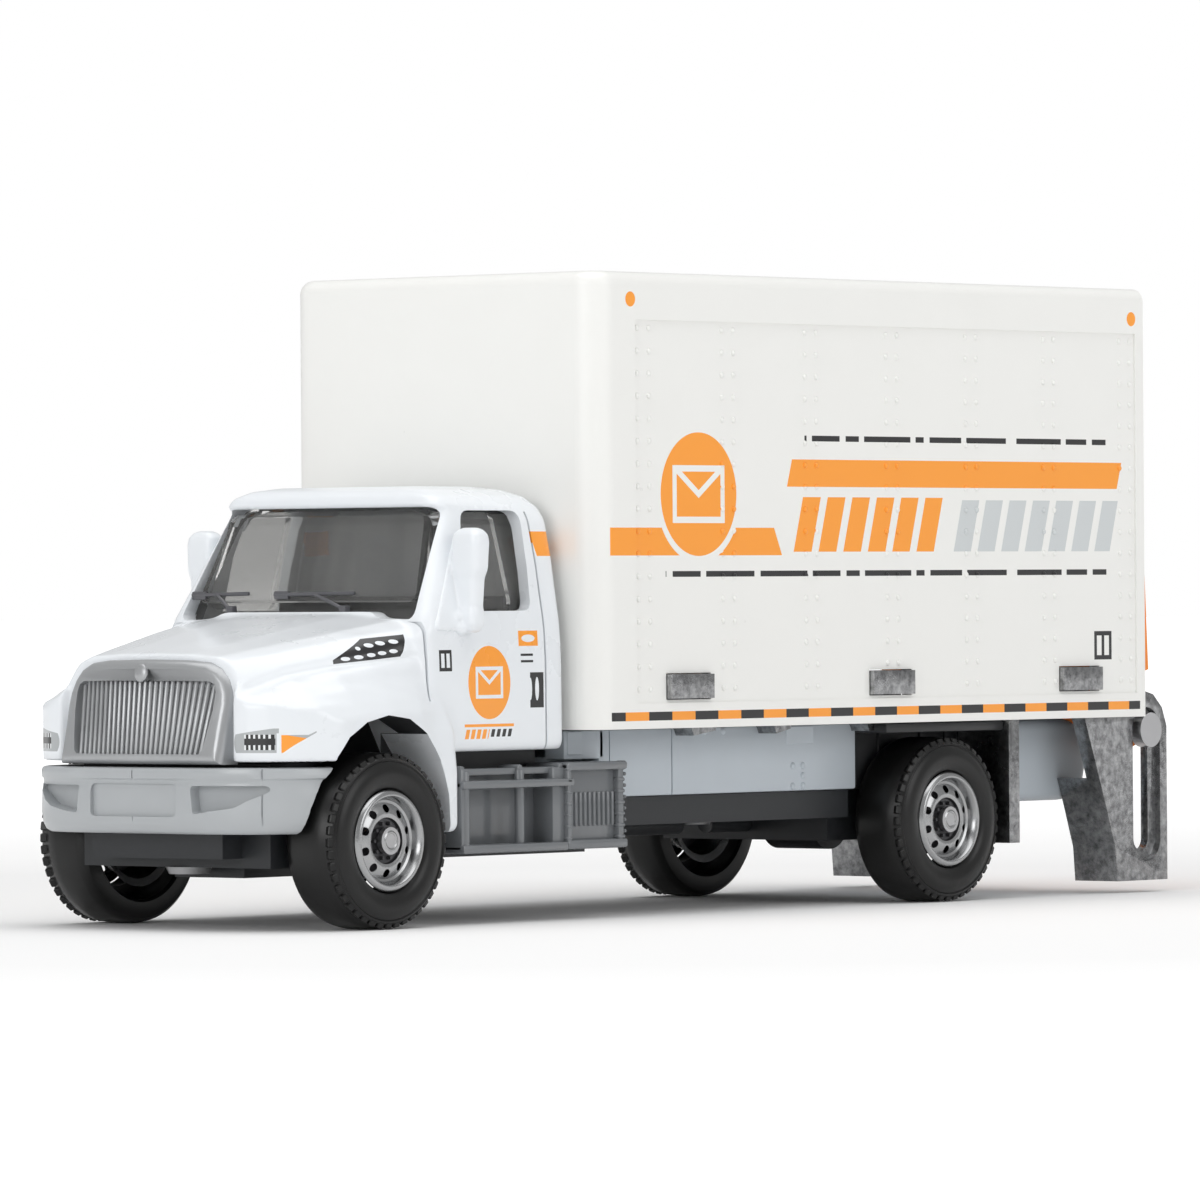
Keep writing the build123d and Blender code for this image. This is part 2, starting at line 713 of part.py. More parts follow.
def make_subframe():
    """Light grey sub-frame between the base and the cargo floor, hollow underneath."""
    top_z = under_box_z
    low_z = base_top_z + moulding_gap
    waist_front_y = rear_axle_y - tyre_radius - 1.1
    tail_front_y = flap_front_y + flap_thickness + 0.3
    with BuildPart() as subframe:
        over_steps_z = step_top_z + moulding_gap
        behind_steps_y = step_rear_y + moulding_gap
        between_steps = step_inner_x - 2 * moulding_gap
        block((behind_steps_y, waist_front_y), subframe_half_width, (low_z, top_z))
        block((subframe_front_y, behind_steps_y + 1), subframe_half_width, (over_steps_z, top_z))
        block((subframe_front_y, behind_steps_y + 1), between_steps, (low_z, over_steps_z + 1))
        block((waist_front_y - 1, tail_front_y + 1), waist_half_width, (low_z, top_z))
        block((tail_front_y, subframe_tail_y), subframe_half_width, (subframe_tail_z, top_z))
        with BuildSketch(Plane.XY.offset(low_z - 1)):
            mid_y = (subframe_front_y + waist_front_y) / 2
            with Locations((0, mid_y)):
                Rectangle(
                    2 * (between_steps - subframe_wall),
                    waist_front_y - subframe_front_y - 2 * subframe_wall,
                )
        extrude(amount=top_z - low_z + 1 - subframe_wall, mode=Mode.SUBTRACT)
        with BuildSketch(Plane.XY.offset(low_z)):
            with Locations(*[(0, y) for y in rail_rivet_ys]):
                Circle(post_radius + 0.4)
        extrude(amount=top_z - low_z)
        rivet_holes((*rail_rivet_ys, tail_rivet_y))
    save(subframe.part, "subframe")


def make_rivets():
    """Five formed rivets: a domed head under the base and a shank up into the castings."""
    places = (
        (hood_rivet_y, front_pan_bottom_z, front_well_top_z + 2.6),
        (cabin_rivet_y, rear_pan_bottom_z, cab_base_top_z + 2.6),
        (rail_rivet_ys[0], rail_bottom_z, floor_top_z),
        (rail_rivet_ys[1], rail_bottom_z, floor_top_z),
        (tail_rivet_y, subframe_tail_z, floor_top_z),
    )
    with BuildPart() as rivets:
        for y, low_z, high_z in places:
            with BuildSketch(Plane.XY.offset(low_z - rivet_head_height)):
                with Locations((0, y)):
                    Circle(rivet_head_radius)
            extrude(amount=rivet_head_height, taper=-25)
            with BuildSketch(Plane.XY.offset(low_z - 0.1)):
                with Locations((0, y)):
                    Circle(rivet_radius)
            extrude(amount=high_z - low_z + 0.1)
    save(rivets.part, "base_rivets")


def make_step_box(side, name):
    """Side moulding under the door: two open steps, then a louvred tool box behind them."""
    depth = step_outer_x - step_inner_x
    post_ys = (step_front_y + step_post / 2, (step_front_y + step_split_y) / 2)
    shelves = ((step_bottom_z, 1.0), (9.2, 0.8), (step_top_z - 1.5, 1.5))
    mid_x = side * (step_inner_x + depth / 2)
    louvres = 9
    with BuildPart() as steps:
        for z, thickness in shelves:
            with BuildSketch(Plane.XY.offset(z)):
                with Locations((mid_x, (step_front_y + step_split_y + 1) / 2)):
                    Rectangle(depth, step_split_y + 1 - step_front_y)
            extrude(amount=thickness)
        with BuildSketch(Plane.XY.offset(step_bottom_z)):
            with Locations(*[(mid_x, y) for y in post_ys]):
                Rectangle(depth, step_post)
            with Locations((side * (step_inner_x + 0.5), (step_front_y + step_split_y) / 2)):
                Rectangle(1.0, step_split_y - step_front_y)
            with Locations((mid_x, (step_split_y + step_rear_y) / 2)):
                Rectangle(depth, step_rear_y - step_split_y)
        extrude(amount=step_top_z - step_bottom_z)
        louvre_plane = Plane(origin=(side * (step_outer_x - 0.4), 0, 0), x_dir=(0, 1, 0), z_dir=(1, 0, 0))
        with BuildSketch(louvre_plane):
            with Locations(((step_split_y + step_rear_y) / 2 + 0.6, 9.5)):
                with GridLocations(0.6, 0, louvres, 1):
                    Rectangle(0.3, 2.8)
        extrude(amount=side * 1, mode=Mode.SUBTRACT)
    save(steps.part, name)


def make_grille():
    """Silver grille: a bowed surround with a sunken field of upright slats."""
    edge_y = hood_front_y - moulding_gap - grille_edge_thickness
    back_y = hood_front_y - moulding_gap
    field_half = 7.6
    field_low_z = 15.2
    field_high_z = 20.4
    with BuildPart() as grille:
        with BuildSketch(Plane.XY.offset(grille_bottom_z)):
            with BuildLine():
                ThreePointArc((-grille_half_width, edge_y), (0, grille_front_y), (grille_half_width, edge_y))
                Polyline(
                    (grille_half_width, edge_y),
                    (grille_half_width, back_y),
                    (-grille_half_width, back_y),
                    (-grille_half_width, edge_y),
                )
            make_face()
        extrude(amount=grille_top_z - grille_bottom_z)
        top_corners = grille.edges().filter_by(Axis.Y).group_by(Axis.Z)[-1]
        chamfer(top_corners, 1.0)
        with BuildSketch(Plane.XY.offset(field_low_z)):
            with BuildLine():
                ThreePointArc(
                    (-field_half, edge_y + grille_field_depth - 0.7),
                    (0, grille_front_y + grille_field_depth),
                    (field_half, edge_y + grille_field_depth - 0.7),
                )
                Polyline(
                    (field_half, edge_y + grille_field_depth - 0.7),
                    (field_half, grille_front_y - 1),
                    (-field_half, grille_front_y - 1),
                    (-field_half, edge_y + grille_field_depth - 0.7),
                )
            make_face()
            with GridLocations(2 * field_half / grille_slats, 0, grille_slats - 1, 1):
                with Locations((0, grille_front_y)):
                    Rectangle(0.26, 6, mode=Mode.SUBTRACT)
        extrude(amount=field_high_z - field_low_z, mode=Mode.SUBTRACT)
    save(grille.part, "grille")


def bumper_plan(inset):
    """Plan of the bumper, bowed across the front and swept back at both ends."""
    outer_x = bumper_half_width - inset
    front_y = truck_front_y + inset
    with BuildSketch(Plane.XY) as plan:
        with BuildLine():
            Spline(
                (0, front_y),
                (outer_x * 0.62, front_y + 0.75),
                (outer_x - 1.3, front_y + 3.0),
                (outer_x, front_y + 6.0),
                tangents=((1, 0), (0, 1)),
            )
            Polyline(
                (outer_x, front_y + 6.0),
                (outer_x, front_axle_y),
                (0, front_axle_y),
                (0, front_y),
            )
        make_face()
        mirror(about=Plane.YZ)
    return plan.sketch


def lamp_recesses():
    """Shallow tapering recesses for the two lamps and the number plate."""
    lamp_z = 11.0
    lamp_outline = (
        (6.4, lamp_z + 1.0),
        (13.8, lamp_z + 0.7),
        (13.8, lamp_z - 0.3),
        (7.2, lamp_z - 1.0),
    )
    backing = bumper_plan(0.7)
    with BuildPart() as recesses:
        with BuildSketch(Plane.XZ.offset(-truck_front_y + 1)):
            with BuildLine():
                Polyline(*lamp_outline, close=True)
            make_face()
            mirror(about=Plane.YZ)
            with Locations((0, lamp_z)):
                Rectangle(9.8, 2.0)
        extrude(amount=-8)
        with BuildSketch(Plane.XY.offset(bumper_bottom_z)):
            add(backing)
        extrude(amount=bumper_top_z - bumper_bottom_z, mode=Mode.SUBTRACT)
    return recesses.part


def make_bumper():
    """Grey plastic bumper, cut to the front wheel arches, with lamp recesses."""
    outer_plan = bumper_plan(0)
    inner_plan = bumper_plan(bumper_thickness)
    recesses = lamp_recesses()
    with BuildPart() as bumper:
        with BuildSketch(Plane.XY.offset(bumper_bottom_z)):
            add(outer_plan)
        extrude(amount=bumper_top_z - bumper_bottom_z)
        with BuildSketch(Plane.XY.offset(bumper_bottom_z - 1)):
            add(inner_plan)
        extrude(amount=bumper_top_z - bumper_bottom_z + 2, mode=Mode.SUBTRACT)
        # Clearance for the wheels.
        with BuildSketch(Plane.YZ.offset(-bumper_half_width - 1)):
            with Locations((front_axle_y, tyre_radius)):
                Circle(bumper_arch_radius)
        extrude(amount=2 * bumper_half_width + 2, mode=Mode.SUBTRACT)
        add(recesses, mode=Mode.SUBTRACT)
    save(bumper.part, "bumper")


def make_mirror(side, name):
    """Door mirror: a tall rounded head on a bracket with a peg in the door."""
    thickness = 1.0
    head_width = 2.1
    head_x = mirror_outer_x - head_width / 2
    with BuildPart() as door_mirror:
        with BuildSketch(Plane.XZ.offset(-mirror_y - thickness / 2)):
            with Locations((side * head_x, 30.9)):
                RectangleRounded(head_width, 5.2, 0.9)
            with Locations((side * (head_x + 0.3), 27.4)):
                Rectangle(0.9, 5.6)
        extrude(amount=thickness)
        with BuildSketch(Plane.YZ.offset(side * (cab_half_width - cab_wall + 0.2))):
            with Locations((mirror_y, mirror_peg_z)):
                Circle(mirror_peg_radius)
        extrude(amount=side * (head_x - cab_half_width + cab_wall))
    save(door_mirror.part, name)


def make_windows():
    """Smoked one-piece glazing under the roof, with panes that fill the window openings."""
    skin = cab_wall + moulding_gap
    outer = cabin_solid(skin, cab_bottom_z)
    inner = cabin_solid(skin + glass_thickness, cab_bottom_z - 3)
    proud = cabin_solid(0.35, cab_bottom_z)
    front_pane = windscreen(moulding_gap)
    side_pane = side_window(moulding_gap)
    with BuildPart() as windows:
        add(outer)
        with BuildSketch(Plane.XZ.offset(33.0)):
            add(front_pane)
        extrude(amount=12)
        with BuildSketch(Plane.YZ.offset(-cab_half_width - 1)):
            add(side_pane)
        extrude(amount=2 * cab_half_width + 2)
        add(proud, mode=Mode.INTERSECT)
        add(inner, mode=Mode.SUBTRACT)
        with BuildSketch(Plane.XY.offset(cab_bottom_z - 1)):
            with Locations((0, (cab_rear_y + cowl_y) / 2)):
                Rectangle(2 * cab_half_width + 4, 30)
        extrude(amount=10.6, mode=Mode.SUBTRACT)
    save(windows.part, "windows")


def make_interior():
    """Dark cab interior: floor, bench seat and dashboard in one moulding."""
    floor_z = cab_bottom_z + 0.1
    rear_y = cab_rear_y - cab_wall - 0.2
    front_y = cowl_y - 1.0 + cab_wall + 0.2
    half = cab_half_width - cab_wall - 0.2
    seat_rear_y = cabin_rivet_y - post_radius - 0.3
    with BuildPart() as interior:
        block((front_y, rear_y), half, (floor_z, floor_z + 0.9))
        block((seat_rear_y - 5.0, seat_rear_y), half - 0.9, (floor_z, floor_z + seat_height))
        block((seat_rear_y - 1.3, seat_rear_y), half - 1.4, (floor_z, seat_back_z))
        block((front_y, front_y + dash_depth), half - 1.3, (floor_z, cab_belt_z - 1.7))
        with BuildSketch(Plane.XY.offset(floor_z - 1)):
            with Locations((0, cabin_rivet_y)):
                Rectangle(2 * post_radius + 0.4, 2 * post_radius + 0.4)
        extrude(amount=3, mode=Mode.SUBTRACT)
    save(interior.part, "interior")


def make_steering_wheel():
    """Steering wheel on a short column that stands on the dashboard."""
    front_y = cowl_y - 1.0 + cab_wall + 0.2
    tilt = 35
    centre = (steering_x, front_y + dash_depth + 2.2, cab_belt_z - 2.2)
    wheel_place = Plane(origin=centre).rotated((tilt - 90, 0, 0))
    with BuildPart() as steering:
        with BuildSketch(wheel_place):
            Circle(steering_radius)
            Circle(steering_radius - 2 * steering_rim, mode=Mode.SUBTRACT)
            Rectangle(2 * steering_radius - steering_rim, 0.6)
            Circle(0.7)
        extrude(amount=steering_rim, both=True)
        with BuildSketch(wheel_place):
            Circle(0.45)
        extrude(amount=-2.3)
    save(steering.part, "steering_wheel")


make_cargo_box()
make_frame_casting()
make_lift_pin()
make_lift_platform()
make_cab_shell()
make_base_moulding()
make_subframe()
make_rivets()
for side, hand in SIDES:
    make_step_box(side, f"step_box_{hand}")
    make_mirror(side, f"mirror_{hand}")
make_grille()
make_bumper()
make_windows()
make_interior()
make_steering_wheel()
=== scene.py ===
import math
import random

import bmesh
import bpy
from mathutils import Matrix, Vector


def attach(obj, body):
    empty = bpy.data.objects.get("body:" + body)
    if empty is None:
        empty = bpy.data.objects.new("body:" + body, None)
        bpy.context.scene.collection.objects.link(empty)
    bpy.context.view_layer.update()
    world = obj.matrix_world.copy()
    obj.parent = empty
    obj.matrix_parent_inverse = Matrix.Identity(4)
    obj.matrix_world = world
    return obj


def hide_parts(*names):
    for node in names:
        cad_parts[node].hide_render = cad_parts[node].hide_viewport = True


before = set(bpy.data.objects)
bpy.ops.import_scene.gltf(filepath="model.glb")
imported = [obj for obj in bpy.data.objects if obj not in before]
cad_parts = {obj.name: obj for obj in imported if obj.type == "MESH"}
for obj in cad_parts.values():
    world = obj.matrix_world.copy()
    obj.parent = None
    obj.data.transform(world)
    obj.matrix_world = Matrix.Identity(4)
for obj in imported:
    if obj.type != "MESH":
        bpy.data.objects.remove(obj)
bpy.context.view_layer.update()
random.seed(7)


# ---------------------------------------------------------------- studio
# A pale sweep of card under three soft boxes, and a long lens almost level with the ground.
view_azimuth = math.radians(40.62)
view_elevation = math.radians(0.06)
view_roll = math.radians(-0.39)
view_lens = 265.95
view_place = Vector((0.5105, -0.5955, 0.0281))

back = Vector((
    math.sin(view_azimuth) * math.cos(view_elevation),
    -math.cos(view_azimuth) * math.cos(view_elevation),
    math.sin(view_elevation),
))
across = Vector((math.cos(view_azimuth), math.sin(view_azimuth), 0))
upright = back.cross(across)
across, upright = (
    across * math.cos(view_roll) + upright * math.sin(view_roll),
    upright * math.cos(view_roll) - across * math.sin(view_roll),
)
camera = bpy.data.objects.new("camera", bpy.data.cameras.new("camera"))
bpy.context.collection.objects.link(camera)
camera.matrix_world = Matrix((
    (across.x, upright.x, back.x, view_place.x),
    (across.y, upright.y, back.y, view_place.y),
    (across.z, upright.z, back.z, view_place.z),
    (0, 0, 0, 1),
))
camera.data.lens = view_lens
camera.data.sensor_width = 36
camera.data.clip_start = 0.01
camera.data.clip_end = 20
bpy.context.scene.camera = camera

card = bmesh.new()
bmesh.ops.create_grid(card, x_segments=1, y_segments=1, size=6)
card_mesh = bpy.data.meshes.new("card_floor")
card.to_mesh(card_mesh)
card.free()
card_floor = bpy.data.objects.new("card_floor", card_mesh)
bpy.context.collection.objects.link(card_floor)
card_paper = bpy.data.materials.new("card_paper")
card_paper.use_nodes = True
card_shader = card_paper.node_tree.nodes["Principled BSDF"]
card_shader.inputs["Base Color"].default_value = (0.93, 0.93, 0.93, 1)
card_shader.inputs["Roughness"].default_value = 0.9
# Painted light: the card glows by its own emission, which rises with distance from the truck, so it brightens away
# from the truck.
card_place = card_paper.node_tree.nodes.new("ShaderNodeTexCoord")
card_reach = card_paper.node_tree.nodes.new("ShaderNodeVectorMath")
card_reach.operation = "LENGTH"
card_painted_glow = card_paper.node_tree.nodes.new("ShaderNodeMapRange")
card_painted_glow.inputs["From Min"].default_value = 0.12
card_painted_glow.inputs["From Max"].default_value = 0.75
card_painted_glow.inputs["To Max"].default_value = 0.75
card_paper.node_tree.links.new(card_place.outputs["Object"], card_reach.inputs[0])
card_paper.node_tree.links.new(card_reach.outputs["Value"], card_painted_glow.inputs["Value"])
card_paper.node_tree.links.new(card_painted_glow.outputs["Result"], card_shader.inputs["Emission Strength"])
card_shader.inputs["Emission Color"].default_value = (1, 1, 1, 1)
card_mesh.materials.append(card_paper)


def soft_box(name, place, aim, width, height, power):
    """Square soft box pointing at the truck."""
    lamp = bpy.data.lights.new(name, "AREA")
    lamp.shape = "RECTANGLE"
    lamp.size = width
    lamp.size_y = height
    lamp.energy = power
    box = bpy.data.objects.new(name, lamp)
    box.location = place
    box.rotation_euler = (Vector(aim) - Vector(place)).to_track_quat("-Z", "Y").to_euler()
    bpy.context.collection.objects.link(box)


soft_box("top_box", (0.05, -0.05, 0.75), (0, 0, 0.02), 0.9, 0.9, 3.95)
soft_box("side_box", (0.85, 0.15, 0.35), (0, 0, 0.03), 0.5, 0.4, 1.2)
soft_box("front_box", (0.10, -0.95, 0.30), (0, -0.02, 0.02), 0.5, 0.4, 2.15)

sky = bpy.data.worlds.new("studio")
sky.use_nodes = True
card_wall = sky.node_tree.nodes["Background"]
card_wall.inputs["Color"].default_value = (1, 1, 1, 1)
seen = sky.node_tree.nodes.new("ShaderNodeLightPath")
level = sky.node_tree.nodes.new("ShaderNodeMapRange")
level.inputs["To Min"].default_value = 0.45
level.inputs["To Max"].default_value = 1.0
sky.node_tree.links.new(seen.outputs["Is Camera Ray"], level.inputs["Value"])
sky.node_tree.links.new(level.outputs["Result"], card_wall.inputs["Strength"])
bpy.context.scene.world = sky
bpy.context.scene.view_settings.view_transform = "Standard"


# ---------------------------------------------------------------- interior
# Black seat, floor and dashboard moulding and the steering wheel, seen dimly through the glazing.
def finish_material(name, base, rough, metal=0.0, mottle=0.06, grain=1500.0, bump=0.02, coat=0.0):
    """Moulded, painted or cast finish: mottled colour, uneven gloss and a fine skin."""
    material = bpy.data.materials.new(name)
    material.use_nodes = True
    tree = material.node_tree
    nodes = tree.nodes
    shader = nodes["Principled BSDF"]
    place = nodes.new("ShaderNodeTexCoord")
    broad = nodes.new("ShaderNodeTexNoise")
    broad.inputs["Scale"].default_value = grain * 0.12
    broad.inputs["Detail"].default_value = 6
    fine = nodes.new("ShaderNodeTexNoise")
    fine.inputs["Scale"].default_value = grain
    fine.inputs["Detail"].default_value = 4
    colour = nodes.new("ShaderNodeMixRGB")
    colour.inputs["Color1"].default_value = tuple(c * (1 - mottle) for c in base) + (1,)
    colour.inputs["Color2"].default_value = tuple(min(1, c * (1 + mottle)) for c in base) + (1,)
    gloss = nodes.new("ShaderNodeMapRange")
    gloss.inputs["To Min"].default_value = rough * 0.8
    gloss.inputs["To Max"].default_value = min(1, rough * 1.25)
    skin = nodes.new("ShaderNodeBump")
    skin.inputs["Strength"].default_value = bump
    skin.inputs["Distance"].default_value = 0.0002
    tree.links.new(place.outputs["Object"], broad.inputs["Vector"])
    tree.links.new(place.outputs["Object"], fine.inputs["Vector"])
    tree.links.new(broad.outputs["Fac"], colour.inputs["Fac"])
    tree.links.new(colour.outputs["Color"], shader.inputs["Base Color"])
    tree.links.new(broad.outputs["Fac"], gloss.inputs["Value"])
    tree.links.new(gloss.outputs["Result"], shader.inputs["Roughness"])
    tree.links.new(fine.outputs["Fac"], skin.inputs["Height"])
    tree.links.new(skin.outputs["Normal"], shader.inputs["Normal"])
    shader.inputs["Metallic"].default_value = metal
    shader.inputs["Coat Weight"].default_value = coat
    shader.inputs["Coat Roughness"].default_value = 0.08
    return material


def dress(node, material):
    """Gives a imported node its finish."""
    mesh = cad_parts[node].data
    mesh.materials.clear()
    mesh.materials.append(material)


interior_black = finish_material("interior_black", (0.03, 0.03, 0.033), 0.55)
dress("interior", interior_black)
dress("steering_wheel", interior_black)

# ---------------------------------------------------------------- cab
# Zinc casting in white enamel: cabin, hood and fenders in one shell, softened all over by the mould
# and the paint, hollow inside, with open wheel arches and window openings.
nose_levels = (-60.0, -58.0, -54.0, -50.0, -46.0, -42.0, -39.6, -37.0)
nose_halves = (
    ((0, 22.5), (4, 22.45), (7.0, 22.2), (8.3, 21.7), (9.0, 20.9), (9.3, 19.8), (9.7, 18.9),
     (11, 18.4), (13, 17.8), (14.4, 17.1), (15.3, 16.1), (16.2, 14.6), (16.6, 13)),
    ((0, 23.0), (4, 22.95), (7.2, 22.75), (8.5, 22.2), (9.2, 21.4), (9.7, 20.5), (10.2, 19.8),
     (11.4, 19.3), (13, 18.7), (14.6, 17.9), (15.7, 16.8), (16.3, 15), (16.6, 13)),
    ((0, 23.8), (4.5, 23.75), (8.4, 23.45), (9.9, 22.95), (10.8, 22.2), (11.3, 21.5), (11.8, 21.0),
     (12.9, 20.4), (14.2, 19.6), (15.4, 18.5), (16.2, 17.3), (16.5, 15), (16.6, 13)),
    ((0, 24.55), (5, 24.5), (9.4, 24.15), (11.0, 23.7), (12.0, 22.9), (12.5, 22.2), (12.9, 21.7),
     (13.8, 20.9), (14.8, 20.0), (15.7, 18.9), (16.45, 17.7), (16.6, 15), (16.6, 13)),
    ((0, 25.3), (5.5, 25.25), (10.4, 24.85), (12.1, 24.4), (13.1, 23.6), (13.5, 22.8), (13.8, 22.2),
     (14.3, 21.3), (15.0, 20.2), (15.8, 19.1), (16.5, 17.9), (16.6, 15), (16.6, 13)),
    ((0, 26.0), (6, 25.95), (11.2, 25.5), (13.0, 24.9), (13.9, 24.0), (14.2, 23.1), (14.35, 22.4),
     (14.6, 21.4), (15.0, 20.3), (15.5, 19.2), (16.1, 18.0), (16.4, 15), (16.6, 13)),
    ((0, 26.4), (6, 26.35), (11.4, 25.9), (13.3, 25.2), (14.2, 24.2), (14.5, 23.2), (14.65, 22.5),
     (14.8, 21.4), (14.95, 20.3), (15.1, 19.2), (15.5, 18.0), (16.0, 15), (16.2, 13)),
    ((0, 26.4), (6, 26.35), (11.4, 25.9), (13.4, 25.2), (14.3, 24.2), (14.7, 23.2), (14.9, 22.5),
     (15.0, 21.4), (15.05, 20.3), (15.1, 19.2), (15.1, 18.0), (15.2, 15), (15.2, 13)),
)
nose_plan = (
    (0, -57.7), (9.3, -57.7), (9.75, -58.2), (9.9, -58.75), (11.4, -58.5), (13.0, -57.6), (14.3, -56.1),
    (15.4, -54.2), (16.2, -52.6), (16.6, -50.6), (16.6, -40.0), (15.6, -38.4), (15.1, -37.3), (15.1, -36.0),
    (0, -36.0),
)
# Height, front and rear half width, front and rear place of each level of the cabin.
cabin_levels = (
    (14.6, 15.0, 15.0, -40.4, -22.5),
    (15.2, 15.15, 15.15, -40.6, -22.3),
    (22.0, 15.15, 15.1, -40.6, -22.3),
    (24.8, 15.0, 14.95, -40.5, -22.3),
    (26.0, 14.75, 14.8, -40.0, -22.3),
    (27.5, 14.35, 14.55, -39.2, -22.3),
    (31.0, 13.45, 14.0, -37.3, -22.3),
    (34.2, 12.6, 13.3, -35.6, -22.3),
    (35.1, 12.35, 12.75, -35.2, -22.4),
    (35.4, 12.4, 12.45, -36.0, -22.5),
    (36.2, 11.7, 11.4, -35.9, -22.9),
    (36.8, 10.2, 9.6, -35.2, -23.8),
    (37.1, 8.0, 7.2, -33.8, -25.5),
)
arch_edge = (
    (-53.1, 6.0), (-53.0, 13.0), (-52.6, 14.5), (-51.4, 16.1), (-49.3, 17.3), (-46.6, 17.85), (-43.8, 17.5),
    (-41.4, 16.2), (-39.7, 14.0), (-38.8, 11.0), (-38.5, 6.0),
)


def rounded(corners, radius, steps=4):
    """Closed outline with each corner turned into a short curve."""
    outline = []
    count = len(corners)
    for index, corner in enumerate(corners):
        corner = Vector(corner)
        before = Vector(corners[index - 1])
        after = Vector(corners[(index + 1) % count])
        start = corner + (before - corner).normalized() * min(radius, (before - corner).length / 2)
        end = corner + (after - corner).normalized() * min(radius, (after - corner).length / 2)
        for step in range(steps + 1):
            t = step / steps
            outline.append(start * (1 - t) ** 2 + corner * 2 * t * (1 - t) + end * t ** 2)
    return outline


def bridged(loops):
    """Closed shell through a row of loops, capped at both ends."""
    shell = bmesh.new()
    rows = []
    for loop in loops:
        verts = [shell.verts.new(point) for point in loop]
        rows.append([shell.edges.new((verts[i - 1], verts[i])) for i in range(len(verts))])
    for first, second in zip(rows, rows[1:]):
        bmesh.ops.bridge_loops(shell, edges=first + second)
    for row in (rows[0], rows[-1]):
        bmesh.ops.edgeloop_fill(shell, edges=row)
    bmesh.ops.triangulate(shell, faces=[face for face in shell.faces if len(face.verts) > 4])
    bmesh.ops.recalc_face_normals(shell, faces=shell.faces)
    return shell


def prism(outline, axis, start, length):
    """Flat outline drawn square to one axis and pushed along it."""
    solid = bmesh.new()
    if axis == "x":
        points = [(start, a, b) for a, b in outline]
        push = (length, 0, 0)
    elif axis == "y":
        points = [(a, start, b) for a, b in outline]
        push = (0, length, 0)
    else:
        points = [(a, b, start) for a, b in outline]
        push = (0, 0, length)
    face = solid.faces.new([solid.verts.new(point) for point in points])
    grown = bmesh.ops.extrude_face_region(solid, geom=[face])
    moved = [item for item in grown["geom"] if isinstance(item, bmesh.types.BMVert)]
    bmesh.ops.translate(solid, vec=push, verts=moved)
    bmesh.ops.recalc_face_normals(solid, faces=solid.faces)
    return solid


def place_mesh(shape, name, scale=0.001):
    """Turns a bmesh drawn in millimetres into an object in metres."""
    bmesh.ops.scale(shape, vec=(scale, scale, scale), verts=shape.verts)
    mesh = bpy.data.meshes.new(name)
    shape.to_mesh(mesh)
    shape.free()
    piece = bpy.data.objects.new(name, mesh)
    bpy.context.collection.objects.link(piece)
    return piece


def settle(piece):
    """Applies the modifiers of a piece to its mesh."""
    graph = bpy.context.evaluated_depsgraph_get()
    mesh = bpy.data.meshes.new_from_object(piece.evaluated_get(graph))
    piece.modifiers.clear()
    piece.data = mesh


def carve(piece, tools, operation="DIFFERENCE"):
    """Cuts, joins or keeps the overlap of a piece and its tools."""
    for tool in tools:
        cut = piece.modifiers.new("cut", "BOOLEAN")
        cut.object = tool
        cut.operation = operation
        cut.solver = "EXACT"
        settle(piece)
        bpy.data.objects.remove(tool)


def mirrored(half):
    """Whole outline from its left half."""
    return list(half) + [(-a, b) for a, b in reversed(half) if a > 0.001]


def cabin_loop(level, inset=0.0):
    height, front_half, rear_half, front, rear = level
    front_half, rear_half, front, rear = front_half - inset, rear_half - inset, front + inset, rear - inset
    corners = ((front_half, front), (front_half, rear) if front_half == rear_half else (rear_half, rear),
               (-rear_half, rear), (-front_half, front), (0, front - 0.15))
    return [(x, y, height) for x, y in rounded(corners, 1.3)]


def smooth_shade(piece, angle=40):
    piece.data.shade_smooth()
    piece.data.set_sharp_from_angle(angle=math.radians(angle))


cab = place_mesh(prism(mirrored(nose_plan), "z", 14.1, 14), "cab")
nose_loops = []
for place, half in zip(nose_levels, nose_halves):
    nose_loops.append([(x, place, z) for x, z in mirrored(half)])
carve(cab, [place_mesh(bridged(nose_loops), "nose_form")], "INTERSECT")
carve(cab, [place_mesh(bridged([cabin_loop(level) for level in cabin_levels]), "cabin_form")], "UNION")
for side in (1, -1):
    leg = []
    for level, reach, foot_y in ((7.9, 16.0, -37.5), (8.4, 16.2, -37.2), (13.0, 16.2, -37.2), (16.5, 15.9, -37.3),
                                 (19.6, 15.05, -38.4)):
        leg.append([(side * 12.3, -39.8, level), (side * reach, -39.8, level), (side * reach, foot_y - 0.6, level),
                    (side * (reach - 0.5), foot_y, level), (side * 12.3, foot_y, level)])
    carve(cab, [place_mesh(bridged(leg), "fender_leg")], "UNION")
cast = cab.modifiers.new("cast", "REMESH")
cast.mode = "VOXEL"
cast.voxel_size = 0.00024
soften = cab.modifiers.new("soften", "SMOOTH")
soften.factor = 0.5
soften.iterations = 10
settle(cab)

# Soft crease along the hood side, where it meets the top of the fender.
crease_line = ((-58.4, 19.2), (-57.5, 20.1), (-53.9, 21.35), (-49.6, 22.05), (-42.4, 22.65), (-40.2, 22.75))


def crease_height(y):
    for (y0, z0), (y1, z1) in zip(crease_line, crease_line[1:]):
        if y0 <= y <= y1:
            return z0 + (z1 - z0) * (y - y0) / (y1 - y0)
    return None


faced = [vert.normal.copy() for vert in cab.data.vertices]
for vert, normal in zip(cab.data.vertices, faced):
    x, y, z = vert.co * 1000
    level = crease_height(y)
    if level is None or abs(x) < 9.3:
        continue
    fade = min(1, (y + 58.4) / 2, (-40.2 - y) / 1.5)
    gap = z - level
    sink = -0.24 * math.exp(-(gap / 0.32) ** 2) + 0.12 * math.exp(-((gap + 0.8) / 0.6) ** 2)
    vert.co += normal * sink * fade * 0.001

arch_tools = []
for side in (1, -1):
    arch_tools.append(place_mesh(prism(arch_edge, "x", side * 10.9, side * 7), "arch_tool"))
